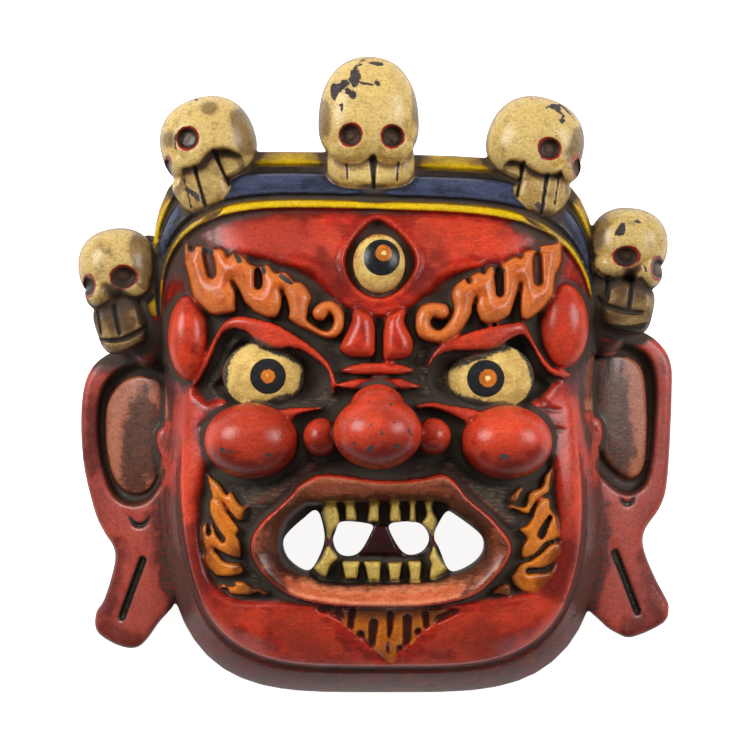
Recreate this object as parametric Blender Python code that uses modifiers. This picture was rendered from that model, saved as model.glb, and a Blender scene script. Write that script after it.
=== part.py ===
"""A carved wooden mask of a wrathful protector, crowned with five skulls, lying on its back.

The whole mask is cut from one block: face, flame brows, beard, ears, head band and skulls are
one solid, hollowed from behind, with the mouth pierced right through between the teeth.
Lengths below are millimetres in the mask's own frame: X across the face, Y up to the crown,
Z out of the face, with the flat back rim on Z = 0. They become metres when a mesh is made.
"""
import math

import bmesh
import bpy
import numpy as np
from mathutils import Matrix, Vector

NAME = "mask"
MM = 0.001

# The head: a rounded block, wide and square at the crown, rounder at the chin.
HALF_WIDTH = 153.0
CROWN_RISE = 167.0
CHIN_DROP = 202.0
MID_Y = -17.0
CROWN_SQUARENESS = 5.5
CHIN_SQUARENESS = 3.85
CROWN_SLIP = 3.0
CROWN_LEAN = 0.028
CHIN_SLIP = 3.0

# The dome that every carving stands on, and how far it falls away towards each edge.
DOME = 110.0
FALL_SIDE = 0.93
FALL_CROWN = 0.87
FALL_CHIN = 0.955

# The sides draw in towards the back rim by this much.
SIDE_TUCK = 5.0

# The hollow behind the face: the thickness left at the sides, behind the face and the mouth.
SIDE_WALL = 18.0
FACE_WALL = 26.0
MOUTH_WALL = 9.0

# The head band: two raised edges and a broad middle, between the forehead and the crown's edge.
BAND_HALF_WIDTH = 150.0
BAND_RISE = 128.0
BAND_SQUARENESS = 4.1
BAND_PROUD = 6.5
BAND_GROOVES = ((0.225, 0.07), (0.74, 0.075))
BAND_GROOVE_DEPTH = 5.5
BAND_ENDS = 35.0

# Depths and heights of the carving, against the dome.
FACE_RECESS = 8.0
SOCKET_DEPTH = 9.0
LIP_PROUD = 6.0
LIP_SLOPE = 17.0
MOUTH_DEPTH = 27.0
TOOTH_HEIGHT = 12.0
BROW_PROUD = 6.5
BROW_SHOULDER = 3.0
HAIR_BLEND = 5.0
BEARD_PROUD = 0.0
JAW_PROUD = 5.0
FOLD_PROUD = 3.0
TAIL_PROUD = 2.0
CHIN_RIM = 0.905
CHIN_RIM_HALF = 0.012
CHIN_RIM_DROP = 6.0
CHIN_GROOVE_DEPTH = 4.0

# The carver's fineness and the triangles that are left when the block is finished.
GRAIN = 1.7
TRIANGLES = 8400

# Closed outlines, as points of a smooth loop.
SUNKEN_FACE = [
    (-123, 50), (-118, 24), (-123, -10), (-118, -54), (-124, -88), (-124, -112), (-117, -140),
    (-98, -154), (-55, -156), (0, -160), (45, -157), (92, -151), (112, -143), (122, -124),
    (125, -104), (119, -55), (129, -17), (117, 24), (119, 50), (81, 76), (47, 70), (32, 56),
    (18, 45), (0, 38), (-14, 42), (-25, 50), (-34, 63), (-46, 72), (-63, 76), (-94, 81)]
LIPS_OUTER = [
    (0, -71), (27, -70), (42, -67), (50, -72), (59, -83), (75, -97), (87, -113), (85, -124),
    (76, -136), (61, -148), (27, -155), (0, -156), (-29, -154), (-55, -149), (-71, -139),
    (-82, -126), (-85, -114), (-79, -101), (-59, -82), (-51, -73), (-35, -67)]
LIPS_INNER = [
    (-43, -86), (0, -85), (40, -85), (49, -91), (61, -100), (70, -111), (70, -121), (62, -130),
    (49, -135), (34, -140), (-5, -142), (-35, -141), (-49, -135), (-62, -129), (-68, -117),
    (-64, -101), (-52, -89)]
MOUTH_HOLES = [
    [(-43, -91), (-39, -97), (-37, -113), (-45, -131), (-52, -132), (-62, -124), (-65, -113),
     (-60, -105), (-51, -97)],
    [(-25, -99), (-5, -101), (-5, -106), (-14, -121), (-26, -122), (-31, -113), (-29, -105)],
    [(9, -100), (27, -100), (34, -110), (29, -120), (17, -121), (7, -105)],
    [(46, -92), (51, -94), (68, -107), (71, -117), (66, -126), (54, -133), (47, -132),
     (41, -118), (37, -109), (41, -99)]]
LEFT_SOCKET = [
    (-113, -8), (-106, 0), (-101, 15), (-92, 25), (-81, 24), (-69, 18), (-53, 15), (-39, 9),
    (-32, -3), (-38, -15), (-53, -19), (-80, -22), (-100, -19)]
RIGHT_SOCKET = [
    (116, -8), (105, 5), (99, 22), (92, 31), (80, 26), (66, 17), (50, 13), (37, 9), (30, -3),
    (35, -15), (50, -20), (80, -23), (100, -19)]
CHIN_BED = [(-41, -155), (-26, -167), (-11, -181), (6, -196), (15, -188), (31, -173), (54, -156)]
THIRD_SOCKET = [(-1, 105), (-15, 95), (-24, 77), (-17, 58), (-1, 50), (16, 57), (26, 76), (16, 94)]

# Strokes of the gouge: a smooth path whose points give X, Y and the half-width there.
LEFT_BROW = [
    [(-130, 88, 1.5), (-126, 77, 5.5), (-118, 64, 9.5), (-110, 52, 12), (-104, 50, 11)],
    [(-121, 86, 2), (-121, 74, 4.5)],
    [(-108, 84, 2.5), (-105, 75, 5.5), (-103, 62, 8.5), (-105, 52, 10.5)],
    [(-96, 80, 2), (-92, 71, 5), (-89, 61, 6.5), (-81, 50, 9), (-74, 48, 10)],
    [(-75, 72, 2.5), (-73, 62, 4.5), (-71, 50, 9)],
    [(-66, 67, 2), (-68, 58, 5.5)],
    [(-63, 65, 3.5), (-59, 58, 6), (-55, 48, 7), (-54, 39, 6.5), (-48, 31, 4.8), (-39, 27, 3.8),
     (-31, 27, 4.2), (-27, 33, 4.4), (-27, 40, 4.6), (-31, 44, 5.2), (-37, 42.5, 6.4)],
    [(-54, 61, 2), (-51, 53, 5.5)]]
LEFT_BROW_CUTS = [
    [(-98.5, 62, 0.3), (-95.5, 55, 0.9), (-92.5, 48, 2.4), (-90, 40, 6)],
    [(-65, 57, 0.3), (-63, 48, 1.2), (-61, 40, 3), (-58, 32, 6)],
    [(-111, 66, 1), (-112, 72, 2.6), (-113.5, 80, 3.2), (-114, 88, 4)],
    [(-80, 58, 1), (-81, 64, 2.8), (-83, 72, 3.4), (-85, 80, 4)]]
RIGHT_BROW = [
    [(121, 90, 1.5), (118, 76, 5.5), (113, 61, 10.5), (105, 49, 11)],
    [(101, 84, 2.5), (98, 72, 6), (101, 55, 9)],
    [(88, 78, 2.5), (86, 67, 6), (81, 51, 10), (74, 44, 9.5)],
    [(74, 72, 2.5), (73, 62, 5.5), (72, 50, 8)],
    [(67, 68, 2), (68, 57, 5.5)],
    [(53, 60, 5), (56, 51, 6.6), (55.5, 41, 6), (51.5, 32, 5.4), (44, 26.5, 5), (34, 26, 5),
     (29.5, 31, 5.3), (29, 39, 5), (34, 43.5, 5), (41, 42, 6.4)],
    [(61, 65, 2.5), (61, 56, 4.5)]]
RIGHT_BROW_CUTS = [
    [(95, 61, 0.3), (93, 52, 1.2), (91, 44, 3), (89, 36, 6)],
    [(66, 53, 0.3), (64, 45, 1.4), (62, 37, 3), (60, 29, 6)],
    [(106, 61, 2.6), (106, 68, 1.8), (106, 76, 3.2), (106, 84, 4)],
    [(81, 55, 2.4), (80, 63, 2.2), (81, 72, 3.2), (82, 80, 4)]]
LEFT_BEARD = [
    [(-117, -61, 1), (-112, -73, 3.5), (-105, -84, 4.5), (-96, -92, 4), (-90, -96, 2)],
    [(-100, -77, 1.5), (-96, -85, 3.5), (-89, -90, 2)],
    [(-112, -85, 2.5), (-110, -93, 5.5), (-104, -102, 6.5), (-96, -109, 6), (-93, -115, 4)],
    [(-118, -100, 1.5), (-118, -110, 3), (-112, -116, 4.5), (-102, -118, 5.5), (-94, -119, 4)],
    [(-119, -125, 1.5), (-114, -127, 4.5), (-106, -131, 5.5), (-98, -132, 4.5), (-92, -132, 1.5)],
    [(-108, -142, 1), (-99, -143, 3.5), (-90, -145, 4), (-81, -145, 2), (-73, -147, 1)]]
LEFT_BEARD_CUTS = [
    [(-108, -84, 1), (-102, -90, 1), (-98, -96, 1), (-91, -100, 1)],
    [(-112, -117, 1), (-107, -121, 1), (-92, -124, 1)],
    [(-113, -101, 1), (-109, -107, 1.5), (-105, -110, 2)]]
RIGHT_BEARD = [
    [(118, -55, 1), (115, -68, 2.5), (108, -77, 4), (102, -88, 3.5), (96, -94, 2)],
    [(96, -75, 1), (92, -81, 2.5), (89, -85, 2)],
    [(112, -83, 2.5), (110, -91, 4.5), (106, -100, 6.5), (102, -108, 7.5), (96, -119, 4)],
    [(118, -95, 1.5), (117, -106, 4), (112, -111, 4.5), (106, -117, 3.5), (98, -122, 1.5)],
    [(120, -109, 1.5), (116, -120, 5.5), (108, -125, 5.5), (100, -131, 5.5), (92, -137, 2.5)],
    [(118, -135, 1.5), (111, -140, 3.5), (103, -145, 3.5), (94, -146, 2)],
    [(76, -146, 1.5), (81, -144, 3.5), (87, -143, 3.5)]]
RIGHT_BEARD_CUTS = [
    [(109, -84, 1), (104, -91, 1.5), (100, -97, 1.5)],
    [(120, -109, 1), (112, -113, 1), (106, -120, 1), (98, -124, 1)],
    [(118, -132, 2.5), (112, -134, 2), (102, -132, 2.5)],
    [(114, -98, 1.5), (111, -104, 2), (109, -107, 3)]]
CHIN_BEARD = [
    [(-23, -157, 1.5), (-23, -169, 1)],
    [(-11, -157, 4), (-12, -168, 4), (-16, -173, 1.5)],
    [(-10, -169, 2), (-7, -182, 1)],
    [(2, -157, 3), (1, -176, 4), (1, -185, 4), (6, -192, 1.5)],
    [(13, -157, 3.5), (12, -174, 4), (9, -184, 2.5), (9, -193, 1.5)],
    [(25, -157, 3.5), (25, -169, 3.5), (23, -179, 1)],
    [(35, -157, 1.5), (35, -169, 1)]]
JAW_RIDGES = [
    [(-131, -18, 5), (-133, -50, 8), (-134, -84, 9), (-131, -118, 9), (-123, -145, 9),
     (-106, -164, 8), (-80, -174, 6)],
    [(131, -25, 5), (134, -71, 9), (136, -104, 10), (133, -131, 10), (123, -151, 9),
     (105, -166, 8), (85, -174, 6)]]
EYELIDS = [
    [(-121, -7, 2), (-115, 2, 2.5), (-109, 11, 3), (-102, 23, 3.5), (-94, 31, 4.5), (-83, 33, 6),
     (-73, 29, 6), (-59, 23, 5.5), (-45, 17, 4), (-34, 10, 3), (-29, -1, 2)],
    [(28, 0, 2), (32, 10, 3), (42, 18, 4), (59, 23, 5.5), (74, 29, 6), (87, 35, 6), (96, 37, 4.5),
     (105, 21, 3.5), (114, 6, 3), (127, -1, 3)]]
FOREHEAD_FOLDS = [
    [(-63, 76, 1), (-46, 72, 2), (-34, 64, 3), (-25, 51, 3), (-14, 43, 3), (0, 39, 3)],
    [(75, 73, 1), (47, 70, 2), (31, 57, 3), (18, 46, 3), (0, 39, 3)]]
NOSE_FOLDS = [
    [(-21, 3, 1), (-8, 4, 4), (8, 4, 4), (20, 3, 1)],
    [(-26, -8, 1.5), (-12, -5, 3.5), (10, -5, 3.5), (25, -8, 1.5)]]
CHEEK_TAILS = [
    [(-78, -27, 8), (-66, -22, 6), (-54, -18, 4), (-40, -18, 2.5)],
    [(76, -27, 8), (62, -22, 6), (50, -18, 4), (36, -17, 2.5)]]
UPPER_TEETH = [
    [(-18, -80, 4.5), (-18, -95, 4.5)], [(-2, -80, 4.5), (-2, -96, 4.5)],
    [(12, -80, 4.5), (12, -95, 4.5)], [(23, -80, 3.5), (23, -95, 3.5)],
    [(-32, -82, 4.5), (-33, -98, 3.5), (-34, -110, 1.5)],
    [(33, -82, 4.5), (33, -98, 4), (35, -109, 2)]]
LOWER_TEETH = [
    [(-17, -130, 5), (-18, -142, 4)], [(-4, -130, 5), (-3, -143, 4)],
    [(10, -130, 5), (11, -143, 4)], [(24, -130, 4.5), (24, -143, 4)],
    [(-37, -138, 6.5), (-34, -127, 4), (-33, -116, 1.5)],
    [(40, -138, 6.5), (39, -127, 4), (38, -117, 1.5)]]
TONGUE = [(1, -98, 6), (1, -123, 14)]

# Rounded pads on the dome, as smooth loops: the two lobes between the brows.
BROW_LOBES = [
    [(-17, 44), (-10, 43.5), (-3.5, 37), (-2.2, 20), (-5, 12), (-19, 12), (-26, 17), (-25, 22),
     (-19, 35)],
    [(4, 37), (14, 44), (18, 42), (17, 35), (22, 25), (23, 19), (20, 12), (7, 9.5), (2.5, 13)]]
LOBE_PROUD = 9.0
LOBE_SHOULDER = 9.0

# Rounded bosses that stand out of the dome: centre and radii.
BOSSES = {
    "left_cheek": ((-85, -44, 104), (31.5, 25.5, 27)),
    "right_cheek": ((85, -45, 104), (30.5, 25, 27)),
    "nose": ((-1, -38, 126), (29.5, 24.5, 29)),
    "nose_bridge": ((-1, -24, 122), (19, 18, 20)),
    "left_nostril": ((-41, -39, 110), (10, 11, 14)),
    "right_nostril": ((37.5, -39, 110), (11.5, 12.5, 14)),
    "left_eyeball": ((-75, -1, 94), (26, 19.5, 14)),
    "right_eyeball": ((75, -2, 94), (27, 20, 14)),
    "third_eyeball": ((0, 74, 103), (17.5, 20, 13)),
    "left_temple": ((-129, 25, 79), (13, 26, 14)),
    "right_temple": ((125, 30, 80), (16, 26, 14)),
    "left_web": ((-158, 50, 42), (20, 46, 22)),
    "right_web": ((156, 58, 42), (21, 46, 22))}

# The ears: flat plates that lean back from the sides of the head.
LEFT_EAR = [
    (-152, 17), (-168, 19), (-186, 15), (-200, 3), (-206, -20), (-205, -59), (-197, -94),
    (-190, -109), (-183, -120), (-183, -132), (-190, -155), (-196, -165), (-195, -178),
    (-180, -187), (-165, -187), (-152, -171), (-138, -150), (-136, -100), (-138, -30)]
RIGHT_EAR = [
    (148, 34), (161, 36), (177, 32), (193, 23), (202, 9), (203, -14), (200, -71), (195, -91),
    (184, -107), (183, -120), (191, -140), (198, -153), (201, -161), (197, -172), (175, -181),
    (164, -178), (153, -170), (138, -150), (136, -100), (138, 0)]
EAR_THICKNESS = 20.0
EAR_ROOT = 46.0
EAR_EDGE = 27.0
EAR_BOWLS = [
    [(-150, 0), (-165, 4), (-180, 0), (-190, -12), (-193, -35), (-190, -60), (-181, -80),
     (-169, -85), (-157, -78), (-149, -60), (-146, -30)],
    [(146, 14), (160, 20), (175, 19), (187, 10), (192, -8), (190, -45), (185, -70), (175, -80),
     (163, -78), (152, -66), (146, -40), (143, -10)]]
EAR_SHELLS = [
    [(-150, -12), (-163, -4), (-177, -9), (-187, -24), (-187, -50), (-181, -70), (-170, -78),
     (-158, -74), (-151, -60), (-148, -35)],
    [(148, 4), (160, 11), (173, 8), (182, -5), (184, -35), (182, -62), (174, -70), (164, -67),
     (154, -55), (147, -35), (144, -14)]]
EAR_BOWL_DEPTH = 11.0
EAR_SHELL_HEIGHT = 5.0
EAR_LOBES = [
    [(-148, -38, 2), (-151, -45, 6), (-148, -56, 3)],
    [(149, -36, 2), (153, -28, 6), (150, -48, 4)]]
EAR_SLOTS = [
    [(-171, -104, 2), (-166, -107, 4), (-160, -104, 2)], [(-162, -127, 3), (-177, -166, 3)],
    [(168, -87, 1.5), (174, -90, 2), (180, -88, 1.5)], [(162, -122, 3), (178, -163, 3)]]

# The five skulls. A cranium is an egg: its middle, half-width, rise, drop and depth. Its cheeks
# are round bosses, its jaw a rounded block set back below them, and each leans by some degrees.
SKULLS = {
    "top": {
        "cranium": ((-7, 168, 80), (34, 46.5, 28, 28)), "lean": 0,
        "cheeks": [(-19, 154, 15.5, 13), (8, 154, 15.5, 13)],
        "jaw": ((-5, 137), (25, 16)),
        "sockets": [(-19, 160, 7.2, 7.2), (9, 159, 7.2, 7.2)],
        "grooves": [[(-26, 142, 1), (-25, 129, 1)], [(-4, 144, 2.2), (-4, 122, 0.8)],
                    [(15, 142, 1), (15, 129, 1)]]},
    "upper_left": {
        "cranium": ((-115, 155, 75), (32.5, 33, 27, 28)), "lean": 35,
        "cheeks": [(-106, 158, 16, 12), (-130, 144, 13, 12)],
        "jaw": ((-119, 128), (16.5, 15.5)),
        "sockets": [(-128, 158, 7.2, 7.2), (-142, 139, 2.5, 6.4)],
        "grooves": [[(-126, 137, 1.1), (-114, 112, 1)], [(-111, 145, 1.1), (-102, 130, 1)]]},
    "upper_right": {
        "cranium": ((105, 154, 75), (33, 34, 26, 28)), "lean": -35,
        "cheeks": [(95, 153, 16, 12), (123, 140, 13, 12)],
        "jaw": ((108.5, 125), (17, 15.5)),
        "sockets": [(114, 151, 7.2, 6.8), (133, 139, 2.7, 6.1)],
        "grooves": [[(102, 134, 1.1), (94, 119, 1)], [(118, 133, 1.1), (109, 106, 1)]]},
    "lower_left": {
        "cranium": ((-178, 73, 54), (27, 27, 22, 26)), "lean": 18,
        "cheeks": [(-165, 63, 14, 12), (-193, 55, 12, 12)],
        "jaw": ((-176, 34), (17, 19)),
        "sockets": [(-173, 66, 8.8, 7.9), (-198, 60, 4.4, 6.8)],
        "grooves": [[(-182, 48, 1.1), (-183, 28, 1)], [(-169, 48, 1.1), (-167, 31, 1)],
                    [(-190, 25, 1.4), (-175, 24, 1.6), (-160, 30, 1.4)]]},
    "lower_right": {
        "cranium": ((170, 88, 54), (27, 26, 21, 26)), "lean": -12,
        "cheeks": [(157, 75, 14, 12), (186, 70, 12, 12)],
        "jaw": ((169, 46), (18, 18)),
        "sockets": [(167, 80, 8.4, 6.3), (189, 72, 4.8, 7.1)],
        "grooves": [[(161, 64, 1.1), (159, 47, 1)], [(173, 63, 1.1), (171, 43, 1)],
                    [(152, 46, 1.4), (167, 41, 1.6), (182, 44, 1.4)]]}}
SKULL_BACK = 1.25
SKULL_FULLNESS = 2.3
SKULL_SOCKET_DEPTH = 8.0
CHEEK_FRONT = 11.0
CHEEK_DEPTH = 16.0
JAW_FRONT = 17.0
JAW_SQUARENESS = 4.0
JAW_GROOVE_DEPTH = 3.5


# ---------------------------------------------------------------- shapes as numbers

def ease(low, high, value):
    """0 below low, 1 above high, and a smooth rise between them."""
    part = np.clip((value - low) / (high - low), 0.0, 1.0)
    return part * part * (3.0 - 2.0 * part)


def quarter_round(depth, radius):
    """A rounded shoulder: steep at the edge, level once it is a radius deep."""
    part = np.clip(depth / radius, 0.0, 1.0)
    return np.sqrt(1.0 - (1.0 - part) ** 2)


def smooth_line(points, closed=False, steps=5):
    """Points along a Catmull-Rom curve through the given points."""
    knots = np.array(points, dtype=float)
    if closed:
        knots = np.vstack([knots[-1:], knots, knots[:2]])
    else:
        knots = np.vstack([2 * knots[0] - knots[1], knots, 2 * knots[-1] - knots[-2]])
    line = []
    for a, b, c, d in zip(knots, knots[1:], knots[2:], knots[3:]):
        for t in np.arange(steps) / steps:
            line.append(0.5 * (2 * b + (c - a) * t + (2 * a - 5 * b + 4 * c - d) * t * t
                               + (3 * b - a - 3 * c + d) * t ** 3))
    if not closed:
        line.append(knots[-2])
    return np.array(line)


def segment_offsets(x, y, start, end):
    """Distance of every point to one segment, and how far along it the nearest place is."""
    along = end[:2] - start[:2]
    length = max(float(along @ along), 1e-9)
    part = np.clip(((x - start[0]) * along[0] + (y - start[1]) * along[1]) / length, 0.0, 1.0)
    gap = np.hypot(x - start[0] - part * along[0], y - start[1] - part * along[1])
    return gap, part


def smooth_max(one, other, blend):
    """The larger of two depths, with the valley between near equals filled."""
    close = np.clip(1.0 - np.abs(one - other) / max(blend, 1e-6), 0.0, 1.0)
    return np.maximum(one, other) + 0.25 * blend * close ** 2


def stroke_depth(x, y, strokes, blend=0.0):
    """How deep each point lies inside the strokes: positive inside, negative outside."""
    depth = np.full(x.shape, -50.0)
    for stroke in strokes:
        line = smooth_line(stroke)
        low, high = line[:, :2].min(axis=0) - 20.0, line[:, :2].max(axis=0) + 20.0
        near = (x > low[0]) & (x < high[0]) & (y > low[1]) & (y < high[1])
        best = np.full(near.sum(), -50.0)
        for start, end in zip(line, line[1:]):
            gap, part = segment_offsets(x[near], y[near], start, end)
            best = np.maximum(best, start[2] + (end[2] - start[2]) * part - gap)
        depth[near] = smooth_max(depth[near], best, blend)
    return depth


def loop_depth(x, y, points):
    """Distance to a closed smooth outline: positive inside, negative outside."""
    line = smooth_line(points, closed=True)
    inside = np.zeros(x.shape, dtype=bool)
    gap = np.full(x.shape, 1e6)
    for start, end in zip(line, np.roll(line, -1, axis=0)):
        gap = np.minimum(gap, segment_offsets(x, y, start, end)[0])
        spans = (start[1] > y) != (end[1] > y)
        rise = end[1] - start[1] if abs(end[1] - start[1]) > 1e-9 else 1e-9
        inside ^= spans & (x < start[0] + (y - start[1]) * (end[0] - start[0]) / rise)
    return np.where(inside, gap, -gap)


def face_axes(x, y):
    """Coordinates about the middle of the head, with the crown's lean and the chin's slip."""
    crown = ease(0.0, 100.0, y)
    chin = ease(0.0, 150.0, -y)
    return x + CROWN_SLIP * crown - CHIN_SLIP * chin, y - MID_Y + CROWN_LEAN * x * crown


def head_ratio(x, y):
    """0 at the middle of the head and 1 on its outline."""
    across, up = face_axes(x, y)
    across = np.abs(across) / HALF_WIDTH
    crown = (across ** CROWN_SQUARENESS
             + np.abs(up / CROWN_RISE) ** CROWN_SQUARENESS) ** (1 / CROWN_SQUARENESS)
    chin = (across ** CHIN_SQUARENESS
            + np.abs(up / CHIN_DROP) ** CHIN_SQUARENESS) ** (1 / CHIN_SQUARENESS)
    return np.where(up > 0, crown, chin)


def band_ratio(x, y):
    """1 on the lower edge of the head band."""
    across, up = face_axes(x, y)
    power = BAND_SQUARENESS
    return (np.abs(across / BAND_HALF_WIDTH) ** power
            + np.abs(np.maximum(up, 0.0) / BAND_RISE) ** power) ** (1 / power)


def dome_height(x, y):
    """Height of the plain head, before any carving."""
    across, up = face_axes(x, y)
    side = (across / HALF_WIDTH) ** 2
    tall = np.where(up > 0, up / CROWN_RISE, up / CHIN_DROP) ** 2
    fall = np.where(up > 0, FALL_CROWN, FALL_CHIN)
    share = tall / np.maximum(side + tall, 1e-9)
    fall = np.sqrt(FALL_SIDE ** 2 * (1 - share) + fall ** 2 * share)
    reach = np.minimum(head_ratio(x, y), 1.03) * fall
    return DOME * np.sqrt(np.maximum(1.0 - reach ** 3, 0.05))


# ---------------------------------------------------------------- carving the face

def raise_to(height, level, depth, edge):
    """Lift the surface to a level wherever a shape covers it, with rounded shoulders."""
    lifted = level - 4.0 + 4.0 * quarter_round(depth, edge)
    return np.where(depth > 0, np.maximum(height, lifted), height)


def carve_band(x, y, height):
    """The head band, proud of the forehead, with two grooves along it."""
    inner, outer = band_ratio(x, y), head_ratio(x, y)
    across = np.clip((inner - 1.0) / np.maximum(inner - 1.0 + 1.0 - outer, 1e-6), 0.0, 1.0)
    across = np.where(inner < 1.0, 0.0, across)
    sides = ease(BAND_ENDS, BAND_ENDS + 25.0, y)
    height = height + BAND_PROUD * ease(0.985, 1.005, inner) * sides
    for middle, half in BAND_GROOVES:
        groove = 1.0 - ease(0.5 * half, 1.4 * half, np.abs(across - middle))
        height = height - BAND_GROOVE_DEPTH * groove * sides * (inner > 1.0)
    return height


def carve_mouth(x, y, dome, height):
    """Lips that slope inwards, the floor of the mouth, the teeth and the tongue."""
    outer, inner = loop_depth(x, y, LIPS_OUTER), loop_depth(x, y, LIPS_INNER)
    down = np.clip(outer / np.maximum(outer - inner, 1e-6), 0.0, 1.0)
    lip = dome + LIP_PROUD * quarter_round(outer + 1.0, 3.0) - LIP_SLOPE * down ** 1.4
    height = np.where(outer > -1.0, lip, height)
    floor = dome - MOUTH_DEPTH
    sunk = ease(-1.0, 4.0, inner)
    height = height * (1 - sunk) + floor * sunk
    height = np.maximum(height, floor + 4.0 * ease(0.0, 4.0, stroke_depth(x, y, [TONGUE])))
    for teeth in (UPPER_TEETH, LOWER_TEETH):
        bite = stroke_depth(x, y, teeth)
        crest = floor + TOOTH_HEIGHT * quarter_round(bite, 3.5)
        height = np.where(bite > 0, np.maximum(height, crest), height)
    return height


def carve_eyes(x, y, dome, height):
    """Sunken sockets under heavy lids, and the ringed third eye."""
    for socket in (LEFT_SOCKET, RIGHT_SOCKET):
        height = height - SOCKET_DEPTH * ease(-1.0, 6.0, loop_depth(x, y, socket))
    height = raise_to(height, dome + 4.0, stroke_depth(x, y, EYELIDS), 3.5)
    third = loop_depth(x, y, THIRD_SOCKET)
    height = height + 4.0 * ease(-9.0, -2.0, third) - 12.0 * ease(-1.5, 4.0, third)
    return height


def carve_hair(x, y, dome, height):
    """Flame brows, the two side beards and the small beard under the lip."""
    for hair, cuts in ((LEFT_BROW, LEFT_BROW_CUTS), (RIGHT_BROW, RIGHT_BROW_CUTS)):
        depth = np.minimum(stroke_depth(x, y, hair, HAIR_BLEND), -stroke_depth(x, y, cuts))
        lifted = dome - 5.0 + (BROW_PROUD + 5.0) * quarter_round(depth, BROW_SHOULDER)
        height = np.where(depth > 0, np.maximum(height, lifted), height)
    for hair, cuts in ((LEFT_BEARD, LEFT_BEARD_CUTS), (RIGHT_BEARD, RIGHT_BEARD_CUTS)):
        depth = np.minimum(stroke_depth(x, y, hair), -stroke_depth(x, y, cuts))
        height = raise_to(height, dome + BEARD_PROUD, depth, 2.5)
    height = height - 5.0 * ease(0.0, 3.0, loop_depth(x, y, CHIN_BED))
    return raise_to(height, dome, stroke_depth(x, y, CHIN_BEARD), 2.5)


def carve_face(x, y):
    """Height of the carved face above the back rim."""
    dome = dome_height(x, y)
    height = carve_band(x, y, dome)
    ratio = head_ratio(x, y)
    low_half = ease(30.0, 90.0, -y)
    rim = ratio - CHIN_RIM
    height = height - CHIN_RIM_DROP * ease(-CHIN_RIM_HALF, CHIN_RIM_HALF, rim) * low_half
    rim_groove = 1.0 - ease(0.4 * CHIN_RIM_HALF, 1.2 * CHIN_RIM_HALF, np.abs(rim))
    height = height - CHIN_GROOVE_DEPTH * rim_groove * low_half
    height = height - FACE_RECESS * ease(-1.0, 5.0, loop_depth(x, y, SUNKEN_FACE))
    for folds, level in ((JAW_RIDGES, JAW_PROUD), (FOREHEAD_FOLDS, FOLD_PROUD),
                         (NOSE_FOLDS, FOLD_PROUD), (CHEEK_TAILS, TAIL_PROUD)):
        height = raise_to(height, dome + level, stroke_depth(x, y, folds), 4.0)
    for lobe in BROW_LOBES:
        depth = loop_depth(x, y, lobe)
        lifted = dome - 2.0 + (LOBE_PROUD + 2.0) * quarter_round(depth, LOBE_SHOULDER)
        height = np.where(depth > 0, np.maximum(height, lifted), height)
    height = carve_eyes(x, y, dome, height)
    height = carve_mouth(x, y, dome, height)
    return carve_hair(x, y, dome, height)


def carve_ear(x, y):
    """Height of the front of an ear above the back rim."""
    height = EAR_EDGE + (EAR_ROOT - EAR_EDGE) * ease(0.0, 60.0, 205.0 - np.abs(x))
    for bowl, shell in zip(EAR_BOWLS, EAR_SHELLS):
        height = height - EAR_BOWL_DEPTH * ease(0.0, 5.0, loop_depth(x, y, bowl))
        height = height + EAR_SHELL_HEIGHT * ease(0.0, 3.0, loop_depth(x, y, shell))
    height = height + 6.0 * ease(0.0, 4.0, stroke_depth(x, y, EAR_LOBES))
    return height - 4.0 * ease(0.0, 2.0, stroke_depth(x, y, EAR_SLOTS))


# ---------------------------------------------------------------- Blender helpers

def new_collection(name):
    collection = bpy.data.collections.new(name)
    bpy.context.scene.collection.children.link(collection)
    return collection


def object_from_mesh(name, mesh, collection):
    """A new object for a mesh, linked to one collection."""
    made = bpy.data.objects.new(name, mesh)
    collection.objects.link(made)
    return made


def settle(target):
    """Replace an object's mesh by what its modifiers make of it."""
    bpy.context.view_layer.update()
    evaluated = target.evaluated_get(bpy.context.evaluated_depsgraph_get())
    mesh = bpy.data.meshes.new_from_object(evaluated)
    target.modifiers.clear()
    old, target.data = target.data, mesh
    bpy.data.meshes.remove(old)


def remesh(target, grain):
    """Fuse everything in the object into one even skin of small squares."""
    modifier = target.modifiers.new("Fuse", "REMESH")
    modifier.mode = "VOXEL"
    modifier.voxel_size = grain * MM
    settle(target)


def read_points(mesh):
    """The mesh's points in millimetres, one row each."""
    flat = np.empty(len(mesh.vertices) * 3)
    mesh.vertices.foreach_get("co", flat)
    return flat.reshape(-1, 3) / MM


def write_points(mesh, points):
    mesh.vertices.foreach_set("co", (points * MM).ravel())
    mesh.update()


def join(target, others):
    """Put the others' faces into the target's mesh and remove the others."""
    merged = bmesh.new()
    for piece in [target] + others:
        copy = piece.data.copy()
        copy.transform(piece.matrix_world)
        merged.from_mesh(copy)
        bpy.data.meshes.remove(copy)
    merged.to_mesh(target.data)
    merged.free()
    target.matrix_world = Matrix.Identity(4)
    for piece in others:
        mesh = piece.data
        bpy.data.objects.remove(piece)
        bpy.data.meshes.remove(mesh)


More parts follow.
